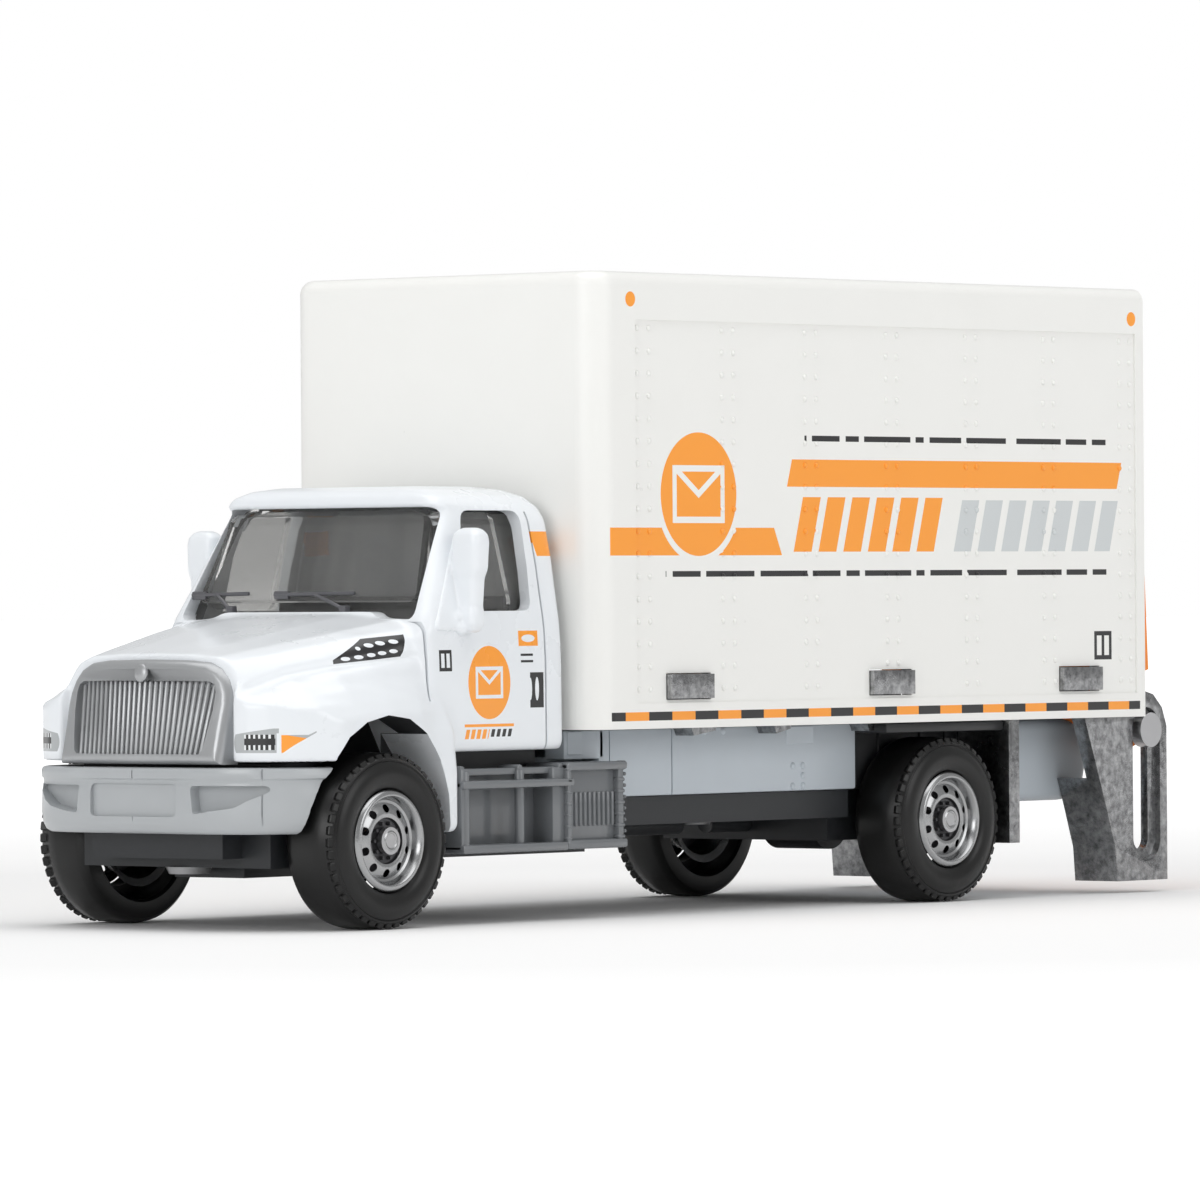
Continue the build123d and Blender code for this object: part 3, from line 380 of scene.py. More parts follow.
# Hollow under the hood and inside the cabin.
hood_room = [[(x * 0.9, place, z - 1.2) for x, z in mirrored(half[:7] + ((half[6][0], 12.0),))]
             for place, half in zip((-56.6, -54.0, -50.0, -46.0, -41.5), nose_halves[1:6])]
arch_tools.append(place_mesh(bridged(hood_room), "hood_room"))
cabin_room = []
for level in cabin_levels[1:-2]:
    low = 12.0 if level is cabin_levels[1] else level[0] - 0.6
    cabin_room.append([(x, y, low) for x, y, z in cabin_loop(level, 1.0)])
arch_tools.append(place_mesh(bridged(cabin_room), "cabin_room"))
# Windscreen and door window openings.
screen = ((13.45, 25.75), (12.0, 35.3), (-12.0, 35.3), (-13.45, 25.75), (-9.4, 25.9), (-8.6, 26.45), (8.6, 26.45), (9.4, 25.9))
arch_tools.append(place_mesh(prism([tuple(p) for p in rounded(screen, 0.9)], "y", -45, 11.5), "screen_tool"))
door_window = ((-33.0, 35.0), (-25.95, 35.0), (-26.5, 26.45), (-35.6, 26.45))
arch_tools.append(place_mesh(prism([tuple(p) for p in rounded(door_window, 0.9)], "x", -20, 40), "window_tool"))
# Door shut lines and the seam under the hood side.
for side in (1, -1):
    for low, high, line_y in ((13.7, 34.9, -25.1), (18.9, 25.6, -40.1)):
        seam = ((line_y - 0.11, low), (line_y + 0.11, low), (line_y + 0.11, high), (line_y - 0.11, high))
        arch_tools.append(place_mesh(prism(seam, "x", side * 10.5, side * 8), "seam_tool"))
carve(cab, arch_tools)
clean = bmesh.new()
clean.from_mesh(cab.data)
bmesh.ops.remove_doubles(clean, verts=clean.verts, dist=0.000008)
bmesh.ops.dissolve_degenerate(clean, edges=clean.edges, dist=0.000008)
clean.to_mesh(cab.data)
clean.free()
print_orange = (0.97, 0.345, 0.03, 1)
print_grey = (0.60, 0.63, 0.64, 1)
print_black = (0.012, 0.012, 0.013, 1)


def calc(tree, operation, a, b=0.0):
    """One sum in the node tree."""
    node = tree.nodes.new("ShaderNodeMath")
    node.operation = operation
    for socket, value in zip(node.inputs, (a, b)):
        if isinstance(value, (int, float)):
            socket.default_value = value
        else:
            tree.links.new(value, socket)
    return node.outputs[0]


def between(tree, value, low, high):
    return calc(tree, "MULTIPLY", calc(tree, "GREATER_THAN", value, low), calc(tree, "LESS_THAN", value, high))


def both(tree, *masks):
    whole = masks[0]
    for mask in masks[1:]:
        whole = calc(tree, "MULTIPLY", whole, mask)
    return whole


def either(tree, *masks):
    whole = masks[0]
    for mask in masks[1:]:
        whole = calc(tree, "MAXIMUM", whole, mask)
    return whole


def less(tree, mask, hole):
    return calc(tree, "MULTIPLY", mask, calc(tree, "SUBTRACT", 1.0, hole))


def millimetres(tree):
    """Place on the piece in millimetres: side distance, length and height."""
    spread = tree.nodes.new("ShaderNodeSeparateXYZ")
    tree.links.new(tree.nodes["Texture Coordinate"].outputs["Object"], spread.inputs["Vector"])
    x, y, z = (calc(tree, "MULTIPLY", spread.outputs[i], 1000.0) for i in range(3))
    return calc(tree, "ABSOLUTE", x), y, z


def disc(tree, y, z, centre, radius_y, radius_z):
    a = calc(tree, "DIVIDE", calc(tree, "SUBTRACT", y, centre[0]), radius_y)
    b = calc(tree, "DIVIDE", calc(tree, "SUBTRACT", z, centre[1]), radius_z)
    reach = calc(tree, "ADD", calc(tree, "MULTIPLY", a, a), calc(tree, "MULTIPLY", b, b))
    return calc(tree, "LESS_THAN", reach, 1.0)


def printed(tree, mask, colour):
    """Lays an ink over whatever colour the shader has so far."""
    shader = tree.nodes["Principled BSDF"]
    under = shader.inputs["Base Color"].links[0].from_socket
    layer = tree.nodes.new("ShaderNodeMixRGB")
    layer.inputs["Color2"].default_value = colour
    tree.links.new(mask, layer.inputs["Fac"])
    tree.links.new(under, layer.inputs["Color1"])
    tree.links.new(layer.outputs["Color"], shader.inputs["Base Color"])


def envelope(tree, y, z, centre, half_y, half_z, line):
    """Outline of a letter: a rectangle and its flap."""
    a = calc(tree, "ABSOLUTE", calc(tree, "SUBTRACT", y, centre[0]))
    b = calc(tree, "SUBTRACT", z, centre[1])
    tall = calc(tree, "ABSOLUTE", b)
    outer = both(tree, calc(tree, "LESS_THAN", a, half_y), calc(tree, "LESS_THAN", tall, half_z))
    inner = both(tree, calc(tree, "LESS_THAN", a, half_y - line), calc(tree, "LESS_THAN", tall, half_z - line))
    crease = calc(tree, "SUBTRACT", b, calc(tree, "MULTIPLY", a, half_z / half_y))
    flap = calc(tree, "LESS_THAN", calc(tree, "ABSOLUTE", crease), line * 0.62)
    return both(tree, outer, either(tree, less(tree, outer, inner), flap))


def slanted_bars(tree, y, z, first, last, pitch, share, lean, low, high):
    """Row of leaning bars between two places."""
    along = calc(tree, "SUBTRACT", y, calc(tree, "MULTIPLY", calc(tree, "SUBTRACT", z, low), lean))
    count = calc(tree, "FRACT", calc(tree, "DIVIDE", calc(tree, "SUBTRACT", along, first), pitch))
    return both(tree, calc(tree, "LESS_THAN", count, share), between(tree, along, first, last),
                between(tree, z, low, high))


def capsule_row(tree, y, z, centres, half_y, half_z):
    return either(tree, *(disc(tree, y, z, centre, half_y, half_z) for centre in centres))


cab_enamel = finish_material("cab_enamel", (0.81, 0.84, 0.87), 0.28, mottle=0.012, bump=0.008, coat=0.3)
cab_plain = cab_enamel.copy()
cab_plain.name = "cab_plain"
paint = cab_enamel.node_tree
side_x, along_y, up_z = millimetres(paint)
on_side = calc(paint, "GREATER_THAN", side_x, 10.6)
# Hood vent: a black wing with two rows of white slots.
from_tip = calc(paint, "ADD", along_y, 48.9)
vent_low = calc(paint, "ADD", calc(paint, "MULTIPLY", from_tip, 0.085), 22.15)
vent_high = calc(paint, "MINIMUM", calc(paint, "ADD", calc(paint, "MULTIPLY", from_tip, 0.5), 22.6),
                 calc(paint, "ADD", calc(paint, "MULTIPLY", from_tip, 0.08), 23.95))
vent_end = calc(paint, "ADD", calc(paint, "MULTIPLY", up_z, 0.53), -54.43)
vent = both(paint, calc(paint, "GREATER_THAN", up_z, vent_low), calc(paint, "LESS_THAN", up_z, vent_high),
            calc(paint, "LESS_THAN", along_y, vent_end), calc(paint, "GREATER_THAN", along_y, -49.2))
slots = either(
    paint, capsule_row(paint, along_y, up_z, ((-45.4, 23.66), (-44.2, 23.83), (-42.85, 23.95)), 0.46, 0.18),
    disc(paint, along_y, up_z, (-46.55, 23.4), 0.22, 0.16),
    capsule_row(paint, along_y, up_z, ((-48.0, 22.55), (-46.75, 22.68), (-45.5, 22.85), (-44.35, 23.0),
                                       (-43.15, 23.15)), 0.44, 0.17))
# Head lamp: a pale lens with a dark reflector and an amber end.
lens_low = calc(paint, "MAXIMUM", 14.88, calc(paint, "ADD", calc(paint, "MULTIPLY", side_x, 1.05), 0.42))
lens_high = calc(paint, "MINIMUM", 16.9, calc(paint, "ADD", calc(paint, "MULTIPLY", side_x, 0.16), 14.78))
tail_high = calc(paint, "MAXIMUM", 16.35, calc(paint, "ADD", calc(paint, "MULTIPLY", side_x, 0.9), 2.85))
on_tail = calc(paint, "GREATER_THAN", side_x, 13.55)
lens_high = calc(paint, "ADD", calc(paint, "MULTIPLY", on_tail, tail_high),
                 calc(paint, "MULTIPLY", calc(paint, "SUBTRACT", 1.0, on_tail), lens_high))
lens_nose = calc(paint, "ADD", 10.05, calc(paint, "MULTIPLY", calc(
    paint, "POWER", calc(paint, "ABSOLUTE", calc(paint, "SUBTRACT", up_z, 15.7)), 2.0), 0.35))
lens = both(paint, calc(paint, "GREATER_THAN", up_z, lens_low), calc(paint, "LESS_THAN", up_z, lens_high),
            calc(paint, "GREATER_THAN", side_x, lens_nose), calc(paint, "LESS_THAN", along_y, -54.3))
gap = both(paint, between(paint, side_x, 13.42, 13.68), calc(paint, "LESS_THAN", up_z, 16.5))
lens = less(paint, lens, gap)
amber = both(paint, lens, between(paint, side_x, 13.68, 15.0), calc(
    paint, "LESS_THAN", up_z, calc(paint, "ADD", calc(paint, "MULTIPLY", side_x, -0.3), 20.55)))
bowl = both(paint, between(paint, side_x, 11.1, 13.35), between(paint, up_z, 15.12, 16.4))
bars = both(paint, calc(paint, "LESS_THAN", calc(paint, "FRACT", calc(paint, "DIVIDE", side_x, 0.37)), 0.42),
            calc(paint, "GREATER_THAN", calc(paint, "ABSOLUTE", calc(paint, "SUBTRACT", up_z, 15.8)), 0.27))
# Door: round badge with a letter, a two-colour line under it, a small badge, a parcel and the handle.
door_badge = less(paint, disc(paint, along_y, up_z, (-32.4, 20.4), 2.7, 3.1),
                  envelope(paint, along_y, up_z, (-32.4, 20.4), 1.75, 1.35, 0.3))
line_bars = slanted_bars(paint, along_y, up_z, -35.6, -32.6, 0.72, 0.68, 0.3, 15.65, 16.45)
dark_bars = slanted_bars(paint, along_y, up_z, -32.3, -29.5, 0.72, 0.6, 0.3, 15.8, 16.45)
line = both(paint, between(paint, along_y, -35.6, -29.3), between(paint, up_z, 16.65, 16.9))
small_badge = less(paint, both(paint, between(paint, along_y, -28.5, -26.0), between(paint, up_z, 23.45, 24.75)),
                   disc(paint, along_y, up_z, (-27.25, 24.1), 0.85, 0.32))
flash_y = calc(paint, "ADD", along_y, calc(paint, "MULTIPLY", up_z, 0.22))
flash = both(paint, between(paint, flash_y, -17.9, -15.2), between(paint, up_z, 31.1, 33.2))
notes = both(paint, between(paint, along_y, -28.3, -26.7), either(
    paint, between(paint, up_z, 22.6, 22.8), between(paint, up_z, 22.05, 22.25)))
door_parcel = less(paint, both(paint, between(paint, along_y, -38.75, -37.15), between(paint, up_z, 21.4, 23.2)),
                   either(paint, both(paint, between(paint, along_y, -38.5, -38.08), between(paint, up_z, 21.7, 22.9)),
                          both(paint, between(paint, along_y, -37.82, -37.4), between(paint, up_z, 21.7, 22.9))))
handle = less(paint, both(paint, between(paint, along_y, -27.15, -25.4), between(paint, up_z, 18.2, 21.2)),
              either(paint, disc(paint, along_y, up_z, (-27.1, 19.8), 0.2, 0.95),
                     disc(paint, along_y, up_z, (-26.25, 19.8), 0.25, 1.0)))
printed(paint, lens, (0.42, 0.44, 0.45, 1))
printed(paint, both(paint, bowl, bars), (0.80, 0.82, 0.83, 1))
printed(paint, both(paint, on_side, either(paint, door_badge, line_bars, line, small_badge, flash, amber)),
        print_orange)
printed(paint, either(paint, both(paint, on_side, either(paint, less(paint, vent, slots), dark_bars, notes,
                                                         door_parcel, handle)),
                      both(paint, less(paint, bowl, bars), calc(paint, "LESS_THAN", along_y, -54.3))), print_black)
cab.data.materials.clear()
cab.data.materials.append(cab_enamel)
# Painted shade: inside the wheel arches and under the hood, the white casting is given a near-black finish where shade
# falls.
arch_painted_shade = finish_material("arch_painted_shade", (0.02, 0.021, 0.023), 0.6, mottle=0.2, bump=0.05)
cab.data.materials.append(arch_painted_shade)
# Faces that take the painted shade: inward faces under the hood, and the arch well except the lit inner face of the
# fender's rear leg.
for face in cab.data.polygons:
    spot = face.center * 1000
    inward = face.normal.x * spot.x + face.normal.z * (spot.z - 12.0) < -0.5
    if inward and -57.2 < spot.y < -41.2 and spot.z > 12.5:
        face.material_index = 1
    if abs(spot.x) > 15.75 or spot.z > 18.3 or not -53.5 < spot.y < -38.2:
        continue
    across_arch = abs(face.normal.x) < 0.3 and (spot.y < -41.2 or abs(spot.x) < 14.8)
    roof = max(z for y, z in arch_edge if abs(y - spot.y) < 3.0)
    if face.normal.y < -0.35 and spot.y > -43.5 and abs(spot.x) > 12.5:
        continue
    if abs(spot.x) < 14.0 or (abs(spot.x) < 15.2 and spot.y < -41.0) or (across_arch and 12.5 < spot.z < roof and abs(spot.x) < 15.6):
        face.material_index = 1
smooth_shade(cab, 35)
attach(cab, "chassis")
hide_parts("cab_shell")

# ---------------------------------------------------------------- glazing and wipers
# Smoked polystyrene moulding that clips under the roof and shows through the window openings. The
# two wipers are moulded with it and lie along the foot of the windscreen.
smoked = finish_material("smoked_glazing", (0.80, 0.80, 0.79), 0.05, mottle=0.04, bump=0.004)
smoked.node_tree.nodes["Principled BSDF"].inputs["Transmission Weight"].default_value = 0.95
smoked.node_tree.nodes["Principled BSDF"].inputs["IOR"].default_value = 1.45
dress("windows", smoked)


def add_to(piece, other):
    """Moves the mesh of another object into a piece."""
    whole = bmesh.new()
    whole.from_mesh(piece.data)
    whole.from_mesh(other.data)
    whole.to_mesh(piece.data)
    whole.free()
    bpy.data.objects.remove(other)


def rod(shape, start, end, radius, segments=10):
    """Round bar between two points, with softened ends."""
    start, end = Vector(start), Vector(end)
    line = end - start
    turn = line.to_track_quat("Z", "Y").to_matrix().to_4x4()
    made = bmesh.ops.create_cone(shape, cap_ends=True, segments=segments, radius1=radius, radius2=radius,
                                 depth=line.length, matrix=Matrix.Translation((start + end) / 2) @ turn)
    rims = {edge for vert in made["verts"] for edge in vert.link_edges if len(edge.link_faces) == 2
            and any(len(face.verts) > 4 for face in edge.link_faces)}
    bmesh.ops.bevel(shape, geom=list(rims), offset=radius * 0.3, affect="EDGES", segments=2, profile=0.5,
                    material=-1)


def block(shape, low, high, round_off=0.12, segments=2):
    """Box between two corners with every edge rounded."""
    low, high = Vector(low), Vector(high)
    made = bmesh.ops.create_cube(shape, size=1, matrix=Matrix.Translation((low + high) / 2)
                                 @ Matrix.Diagonal((*(high - low), 1)))
    edges = {edge for vert in made["verts"] for edge in vert.link_edges}
    bmesh.ops.bevel(shape, geom=list(edges), offset=round_off, affect="EDGES", segments=segments, profile=0.5,
                    material=-1)


def screen_y(height):
    """Face of the windscreen at a height."""
    return -39.62 + (height - 26.1) * 0.511


wipers = bmesh.new()
for pivot, tip, blade_start, blade_end in ((-8.2, -10.2, -13.2, -6.6), (4.9, 1.2, -3.6, 5.6)):
    high = screen_y(28.0) - 0.18
    rod(wipers, (blade_start, high, 27.95), (blade_end, high + 0.05, 28.05), 0.17, 8)
    block(wipers, (blade_start, high - 0.1, 27.55), (blade_start + 1.6, high + 0.35, 28.25), 0.1)
    rod(wipers, (pivot, screen_y(26.7) - 0.15, 26.7), (tip, high - 0.05, 27.95), 0.16, 8)
    block(wipers, (pivot - 0.35, screen_y(26.7) - 0.35, 26.35), (pivot + 0.35, screen_y(26.7) + 0.4, 27.0), 0.1)
wiper_pair = place_mesh(wipers, "wiper_pair")
wiper_plastic = finish_material("wiper_plastic", (0.10, 0.10, 0.11), 0.25, mottle=0.1, bump=0.02)
wiper_pair.data.materials.append(wiper_plastic)
smooth_shade(wiper_pair)
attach(wiper_pair, "chassis")


# ---------------------------------------------------------------- door mirrors
# White plastic heads on a three-cornered foot at the bottom of the screen pillar, one each side,
# moulded in one and glued into a peg hole in the door.
head_levels = (
    (24.6, 0.5, 0.40), (24.8, 0.95, 0.75), (25.4, 1.2, 0.92), (26.3, 1.2, 0.92), (26.8, 1.1, 0.82),
    (29.2, 1.2, 0.88), (30.0, 1.48, 1.02), (32.3, 1.56, 1.08), (32.9, 1.45, 1.00), (33.3, 1.1, 0.72),
    (33.5, 0.6, 0.38),
)
door_side = ((24.0, 15.0), (26.0, 14.72), (27.5, 14.33), (31.0, 13.43), (33.2, 12.85))


def take_in(shape, other):
    """Adds one bmesh to another."""
    spare = bpy.data.meshes.new("spare")
    other.to_mesh(spare)
    other.free()
    shape.from_mesh(spare)
    bpy.data.meshes.remove(spare)


def side_at(height):
    """Half width of the door at a height."""
    for (low, a), (high, b) in zip(door_side, door_side[1:]):
        if height <= high:
            return a + (b - a) * (height - low) / (high - low)
    return door_side[-1][1]


for side, hand in ((1, "left"), (-1, "right")):
    loops = []
    for height, wide, deep in head_levels:
        lean = 0.25 * (height - 24.6) / 8.9
        corners = ((15.3 + wide, -35.1 - deep), (15.3 + wide, -35.1 + deep),
                   (15.3 - wide, -35.1 + deep), (15.3 - wide, -35.1 - deep))
        loops.append([(x, y + lean, height) for x, y in rounded(corners, min(wide, deep) * 0.75)])
    head = bridged(loops)
    foot = [(-34.9, 32.3), (-39.2, 25.2), (-39.0, 24.7), (-34.6, 24.6), (-34.0, 25.4), (-33.9, 32.3)]
    inner = [(side_at(z) - 0.5, y, z) for y, z in foot]
    outer = [(side_at(z) + 0.28, y + (-36.5 - y) * 0.08, z + (28 - z) * 0.05) for y, z in foot]
    take_in(head, bridged([inner, outer]))
    rod(head, (side_at(31.2) - 0.3, -35.1, 31.2), (15.2, -35.2, 31.2), 0.4)
    rod(head, (side_at(26.0) - 0.3, -36.6, 26.0), (15.2, -35.2, 26.0), 0.5)
    bmesh.ops.create_uvsphere(head, u_segments=14, v_segments=10, radius=0.62,
                              matrix=Matrix.Translation((15.0, -35.8, 24.95)))
    if side < 0:
        bmesh.ops.scale(head, vec=(-1, 1, 1), verts=head.verts)
    bmesh.ops.recalc_face_normals(head, faces=head.faces)
    mirror = place_mesh(head, f"door_mirror_{hand}")
    fused = mirror.modifiers.new("fused", "REMESH")
    fused.mode = "VOXEL"
    fused.voxel_size = 0.00014
    soft = mirror.modifiers.new("soft", "SMOOTH")
    soft.factor = 0.5
    soft.iterations = 5
    settle(mirror)
    mirror.data.materials.clear()
    mirror.data.materials.append(cab_plain)
    mirror.data.shade_smooth()
    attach(mirror, "chassis")
    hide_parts(f"mirror_{hand}")


# ---------------------------------------------------------------- grille
# Silver plastic surround with a rolled top bar and upright slats, leaning back a little, pressed
# into the front of the hood.
surround = ((0, 22.62), (4.6, 22.55), (6.9, 22.35), (8.2, 21.85), (9.0, 21.0), (9.45, 19.9), (9.55, 18.9),
            (9.45, 17.0), (9.4, 15.2), (9.35, 13.9), (0, 13.9))
field = ((0, 20.85), (7.4, 20.8), (7.95, 20.55), (8.15, 19.9), (8.1, 18.4), (7.75, 16.2), (7.5, 15.05),
         (7.2, 14.75), (0, 14.75))


def both_sides(half):
    """Whole outline from a left half that starts and ends on the centre line."""
    return list(half) + [(-a, b) for a, b in reversed(half[1:-1])]


frame_body = prism(both_sides(surround), "y", -60.1, 2.6)
front_rim = [edge for edge in frame_body.edges if all(abs(vert.co.y + 60.1) < 0.001 for vert in edge.verts)]
bmesh.ops.bevel(frame_body, geom=front_rim, offset=0.75, affect="EDGES", segments=5, profile=0.5, material=-1)
grille = place_mesh(frame_body, "grille_moulding")
carve(grille, [place_mesh(prism(both_sides(field), "y", -61, 1.75), "field_tool")])
slats = bmesh.new()
slat_count = 26
for index in range(slat_count):
    share = (index + 0.5) / slat_count * 2 - 1
    top_z = 20.85 - max(0, abs(share) - 0.88) * 4
    rod(slats, (share * 7.3, -59.6, 14.6), (share * 7.95, -59.6, top_z), 0.2, 8)
bmesh.ops.create_uvsphere(slats, u_segments=24, v_segments=12, radius=1.0, matrix=Matrix.Translation(
    (0, -59.95, 21.5)) @ Matrix.Diagonal((0.78, 0.3, 0.78, 1)))
add_to(grille, place_mesh(slats, "slats"))
for vert in grille.data.vertices:
    vert.co.x *= 0.975
    rise = (vert.co.z - 0.0139) / 0.0087
    vert.co.y += 0.0009 * rise + (0.0003 + 0.0013 * rise) * (vert.co.x / 0.0092) ** 2
silver = finish_material("silver_plastic", (0.42, 0.43, 0.44), 0.33, metal=0.55, mottle=0.08, bump=0.02)
grille.data.materials.clear()
grille.data.materials.append(silver)
smooth_shade(grille, 40)
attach(grille, "chassis")
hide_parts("grille")


# ---------------------------------------------------------------- bumper
# Grey plastic wrap-round bumper with a rolled lip, lamp pockets and a plate recess, split by three
# mould seams and held on the nose of the base by its inner ribs.
# Height and set-back of each level of the face.
bumper_levels = (
    (8.12, 0.95), (8.35, 0.50), (8.9, 0.15), (9.8, 0.0), (11.6, 0.05), (12.35, 0.22), (12.6, 0.20), (12.75, 0.02),
    (13.3, 0.0), (13.55, 0.12), (13.64, 0.40),
)
bumper_plan = (
    (0.0, -60.38), (5.0, -60.3), (8.0, -60.0), (10.0, -59.5), (11.6, -58.85), (13.0, -57.75), (14.25, -56.2),
    (15.05, -54.4), (15.5, -52.1), (13.2, -52.1), (12.8, -56.4), (9.5, -58.0), (0.0, -58.4),
)


def bumper_loop(height, set_back):
    outline = []
    for x, y in bumper_plan[:9]:
        share = min(1, x / 15.5)
        outline.append((x - set_back * share ** 3, y + set_back * (1 - 0.6 * share), height))
    outline += [(x, y, height) for x, y in bumper_plan[9:]]
    return outline + [(-x, y, z) for x, y, z in reversed(outline[1:-1])]


bumper = place_mesh(bridged([bumper_loop(*level) for level in bumper_levels]), "bumper_moulding")
pockets = [place_mesh(prism([tuple(p) for p in rounded(((-4.9, 9.55), (4.9, 9.55), (4.9, 12.3), (-4.9, 12.3)),
                                                       0.5)], "y", -61, 1.1), "plate_recess")]
for side in (1, -1):
    lamp = rounded(((6.4 * side, 12.2), (6.7 * side, 9.6), (10.8 * side, 10.2), (13.6 * side, 11.7),
                    (13.4 * side, 12.25)), 0.35)
    deep = [(x, -61.5, z) for x, z in lamp]
    floor = [(x * 0.94 + 0.3 * side, -59.05 + max(0, abs(x) - 8) * 0.36, z * 0.84 + 1.85) for x, z in lamp]
    pockets.append(place_mesh(bridged([deep, floor]), "lamp_pocket"))
    bow = [(side * 16.4, -47 + 8.15 * math.cos(math.radians(a)), 7.4 + 8.15 * math.sin(math.radians(a)))
           for a in range(0, 360, 10)]
    bow_in = [(side * 12.6, y, z) for x, y, z in bow]
    pockets.append(place_mesh(bridged([bow, bow_in]), "arch_bow"))
for seam_x, seam_y in ((0.0, -60.25), (12.6, -57.9), (-12.6, -57.9)):
    groove = [(seam_x - 0.07, -61), (seam_x + 0.07, -61), (seam_x + 0.07, seam_y), (seam_x - 0.07, seam_y)]
    pockets.append(place_mesh(prism(groove, "z", 8, 5.8), "seam"))
carve(bumper, pockets)
bumper_grey = finish_material("bumper_grey", (0.42, 0.44, 0.455), 0.3, mottle=0.06, bump=0.02, coat=0.25)
bumper.data.materials.clear()
bumper.data.materials.append(bumper_grey)
smooth_shade(bumper, 38)
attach(bumper, "chassis")
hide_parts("bumper")


# ---------------------------------------------------------------- base and axles
# Black base moulding with the drive line moulded on, clamped by rivets; plain steel axles.
base_black = finish_material("base_black", (0.022, 0.024, 0.027), 0.42, mottle=0.2, bump=0.05)
dress("base_moulding", base_black)
steel = finish_material("bare_steel", (0.5, 0.5, 0.51), 0.3, metal=1.0, mottle=0.12, bump=0.03)
for node in ("base_rivets", "front_axle", "rear_axle", "lift_pin"):
    dress(node, steel)


# ---------------------------------------------------------------- tyres
# Glossy black styrene tyres moulded with a smooth tread and blocks round the outer shoulder only,
# pressed on their rims. Hollow on the inner side.
axle_height = 7.4
wheel_places = {"front": -47.0, "rear": 28.0}
# Distance from the outer face and radius, from the bead round the tread to the hollow inside.
tyre_section = (
    (0.55, 4.28), (0.25, 4.5), (0.08, 5.0), (0.0, 5.6), (0.08, 6.2), (0.25, 6.55), (0.30, 6.62), (0.22, 6.72),
    (0.30, 6.86), (0.55, 7.05), (1.35, 7.2), (1.55, 7.32), (2.4, 7.385), (4.6, 7.385), (5.2, 7.25), (5.5, 6.95),
    (5.58, 6.4), (5.55, 5.6), (5.3, 5.35), (4.6, 5.3), (2.4, 5.2), (2.3, 4.28),
)
lug_count = 44


def spun(section, segments=72, closed=True):
    """Ring turned about the x axis from a row of offsets and radii."""
    ring = bmesh.new()
    verts = [ring.verts.new((-offset, radius, 0)) for offset, radius in section]
    edges = [ring.edges.new(pair) for pair in zip(verts, verts[1:])]
    if closed:
        edges.append(ring.edges.new((verts[-1], verts[0])))
    bmesh.ops.spin(ring, geom=verts + edges, cent=(0, 0, 0), axis=(1, 0, 0), angle=math.tau, steps=segments,
                   use_merge=True)
    bmesh.ops.remove_doubles(ring, verts=ring.verts, dist=0.0001)
    bmesh.ops.recalc_face_normals(ring, faces=ring.faces)
    return ring


def fit_wheel(shape, side, end):
    """Moves a wheel part drawn about the x axis to its place, outer face outwards."""
    if side < 0:
        bmesh.ops.scale(shape, vec=(-1, 1, 1), verts=shape.verts)
        bmesh.ops.recalc_face_normals(shape, faces=shape.faces)
    bmesh.ops.translate(shape, vec=(side * 17.1, wheel_places[end], axle_height), verts=shape.verts)


tyre_black = finish_material("tyre_black", (0.007, 0.007, 0.007), 0.3, mottle=0.15, bump=0.03)
tyre_black.node_tree.nodes["Principled BSDF"].inputs["Specular IOR Level"].default_value = 0.36
for end in wheel_places:
    for side, hand in ((1, "left"), (-1, "right")):
        tyre = spun(tyre_section)
        for index in range(lug_count):
            turn = Matrix.Rotation(math.tau * index / lug_count, 4, "X")
            lug = bmesh.ops.create_cube(tyre, size=1, matrix=turn @ Matrix.Translation((-0.95, 6.86, 0))
                                        @ Matrix.Rotation(math.radians(24), 4, "Z")
                                        @ Matrix.Diagonal((1.2, 0.55, 0.76, 1)))
            edges = {edge for vert in lug["verts"] for edge in vert.link_edges}
            bmesh.ops.bevel(tyre, geom=list(edges), offset=0.09, affect="EDGES", segments=1, profile=0.5,
                            material=-1)
        fit_wheel(tyre, side, end)
        tyre_piece = place_mesh(tyre, f"tyre_ring_{end}_{hand}")
        tyre_piece.data.materials.append(tyre_black)
        smooth_shade(tyre_piece, 35)
        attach(tyre_piece, f"wheel_{end}_{hand}")
        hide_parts(f"tyre_{end}_{hand}")


# ---------------------------------------------------------------- rims
# Silver-plated plastic rims with hand holes, a darker hub ring with its nuts, and a domed cap over
# the end of the axle.
rim_section = (
    (0.35, 4.27), (0.10, 4.12), (0.02, 3.95), (0.05, 3.75), (0.25, 3.6), (0.6, 3.5), (0.85, 3.4), (0.95, 3.2),
    (0.85, 3.0), (0.62, 2.6), (0.55, 2.2), (0.62, 1.95), (0.9, 1.85), (0.95, 1.1), (0.5, 1.0), (0.16, 0.9),
    (0.08, 0.74), (0.12, 0.6), (0.26, 0.52), (0.26, 0.0),
)
rim_back = ((2.6, 0.0), (2.6, 3.0), (5.0, 3.6), (5.2, 4.27))
hand_holes = 10
hub_nuts = 10
rim_silver = finish_material("rim_silver", (0.40, 0.405, 0.41), 0.24, metal=1.0, mottle=0.12, bump=0.02)
hub_dark = finish_material("hub_dark", (0.08, 0.08, 0.085), 0.35, metal=0.7, mottle=0.3, bump=0.05)
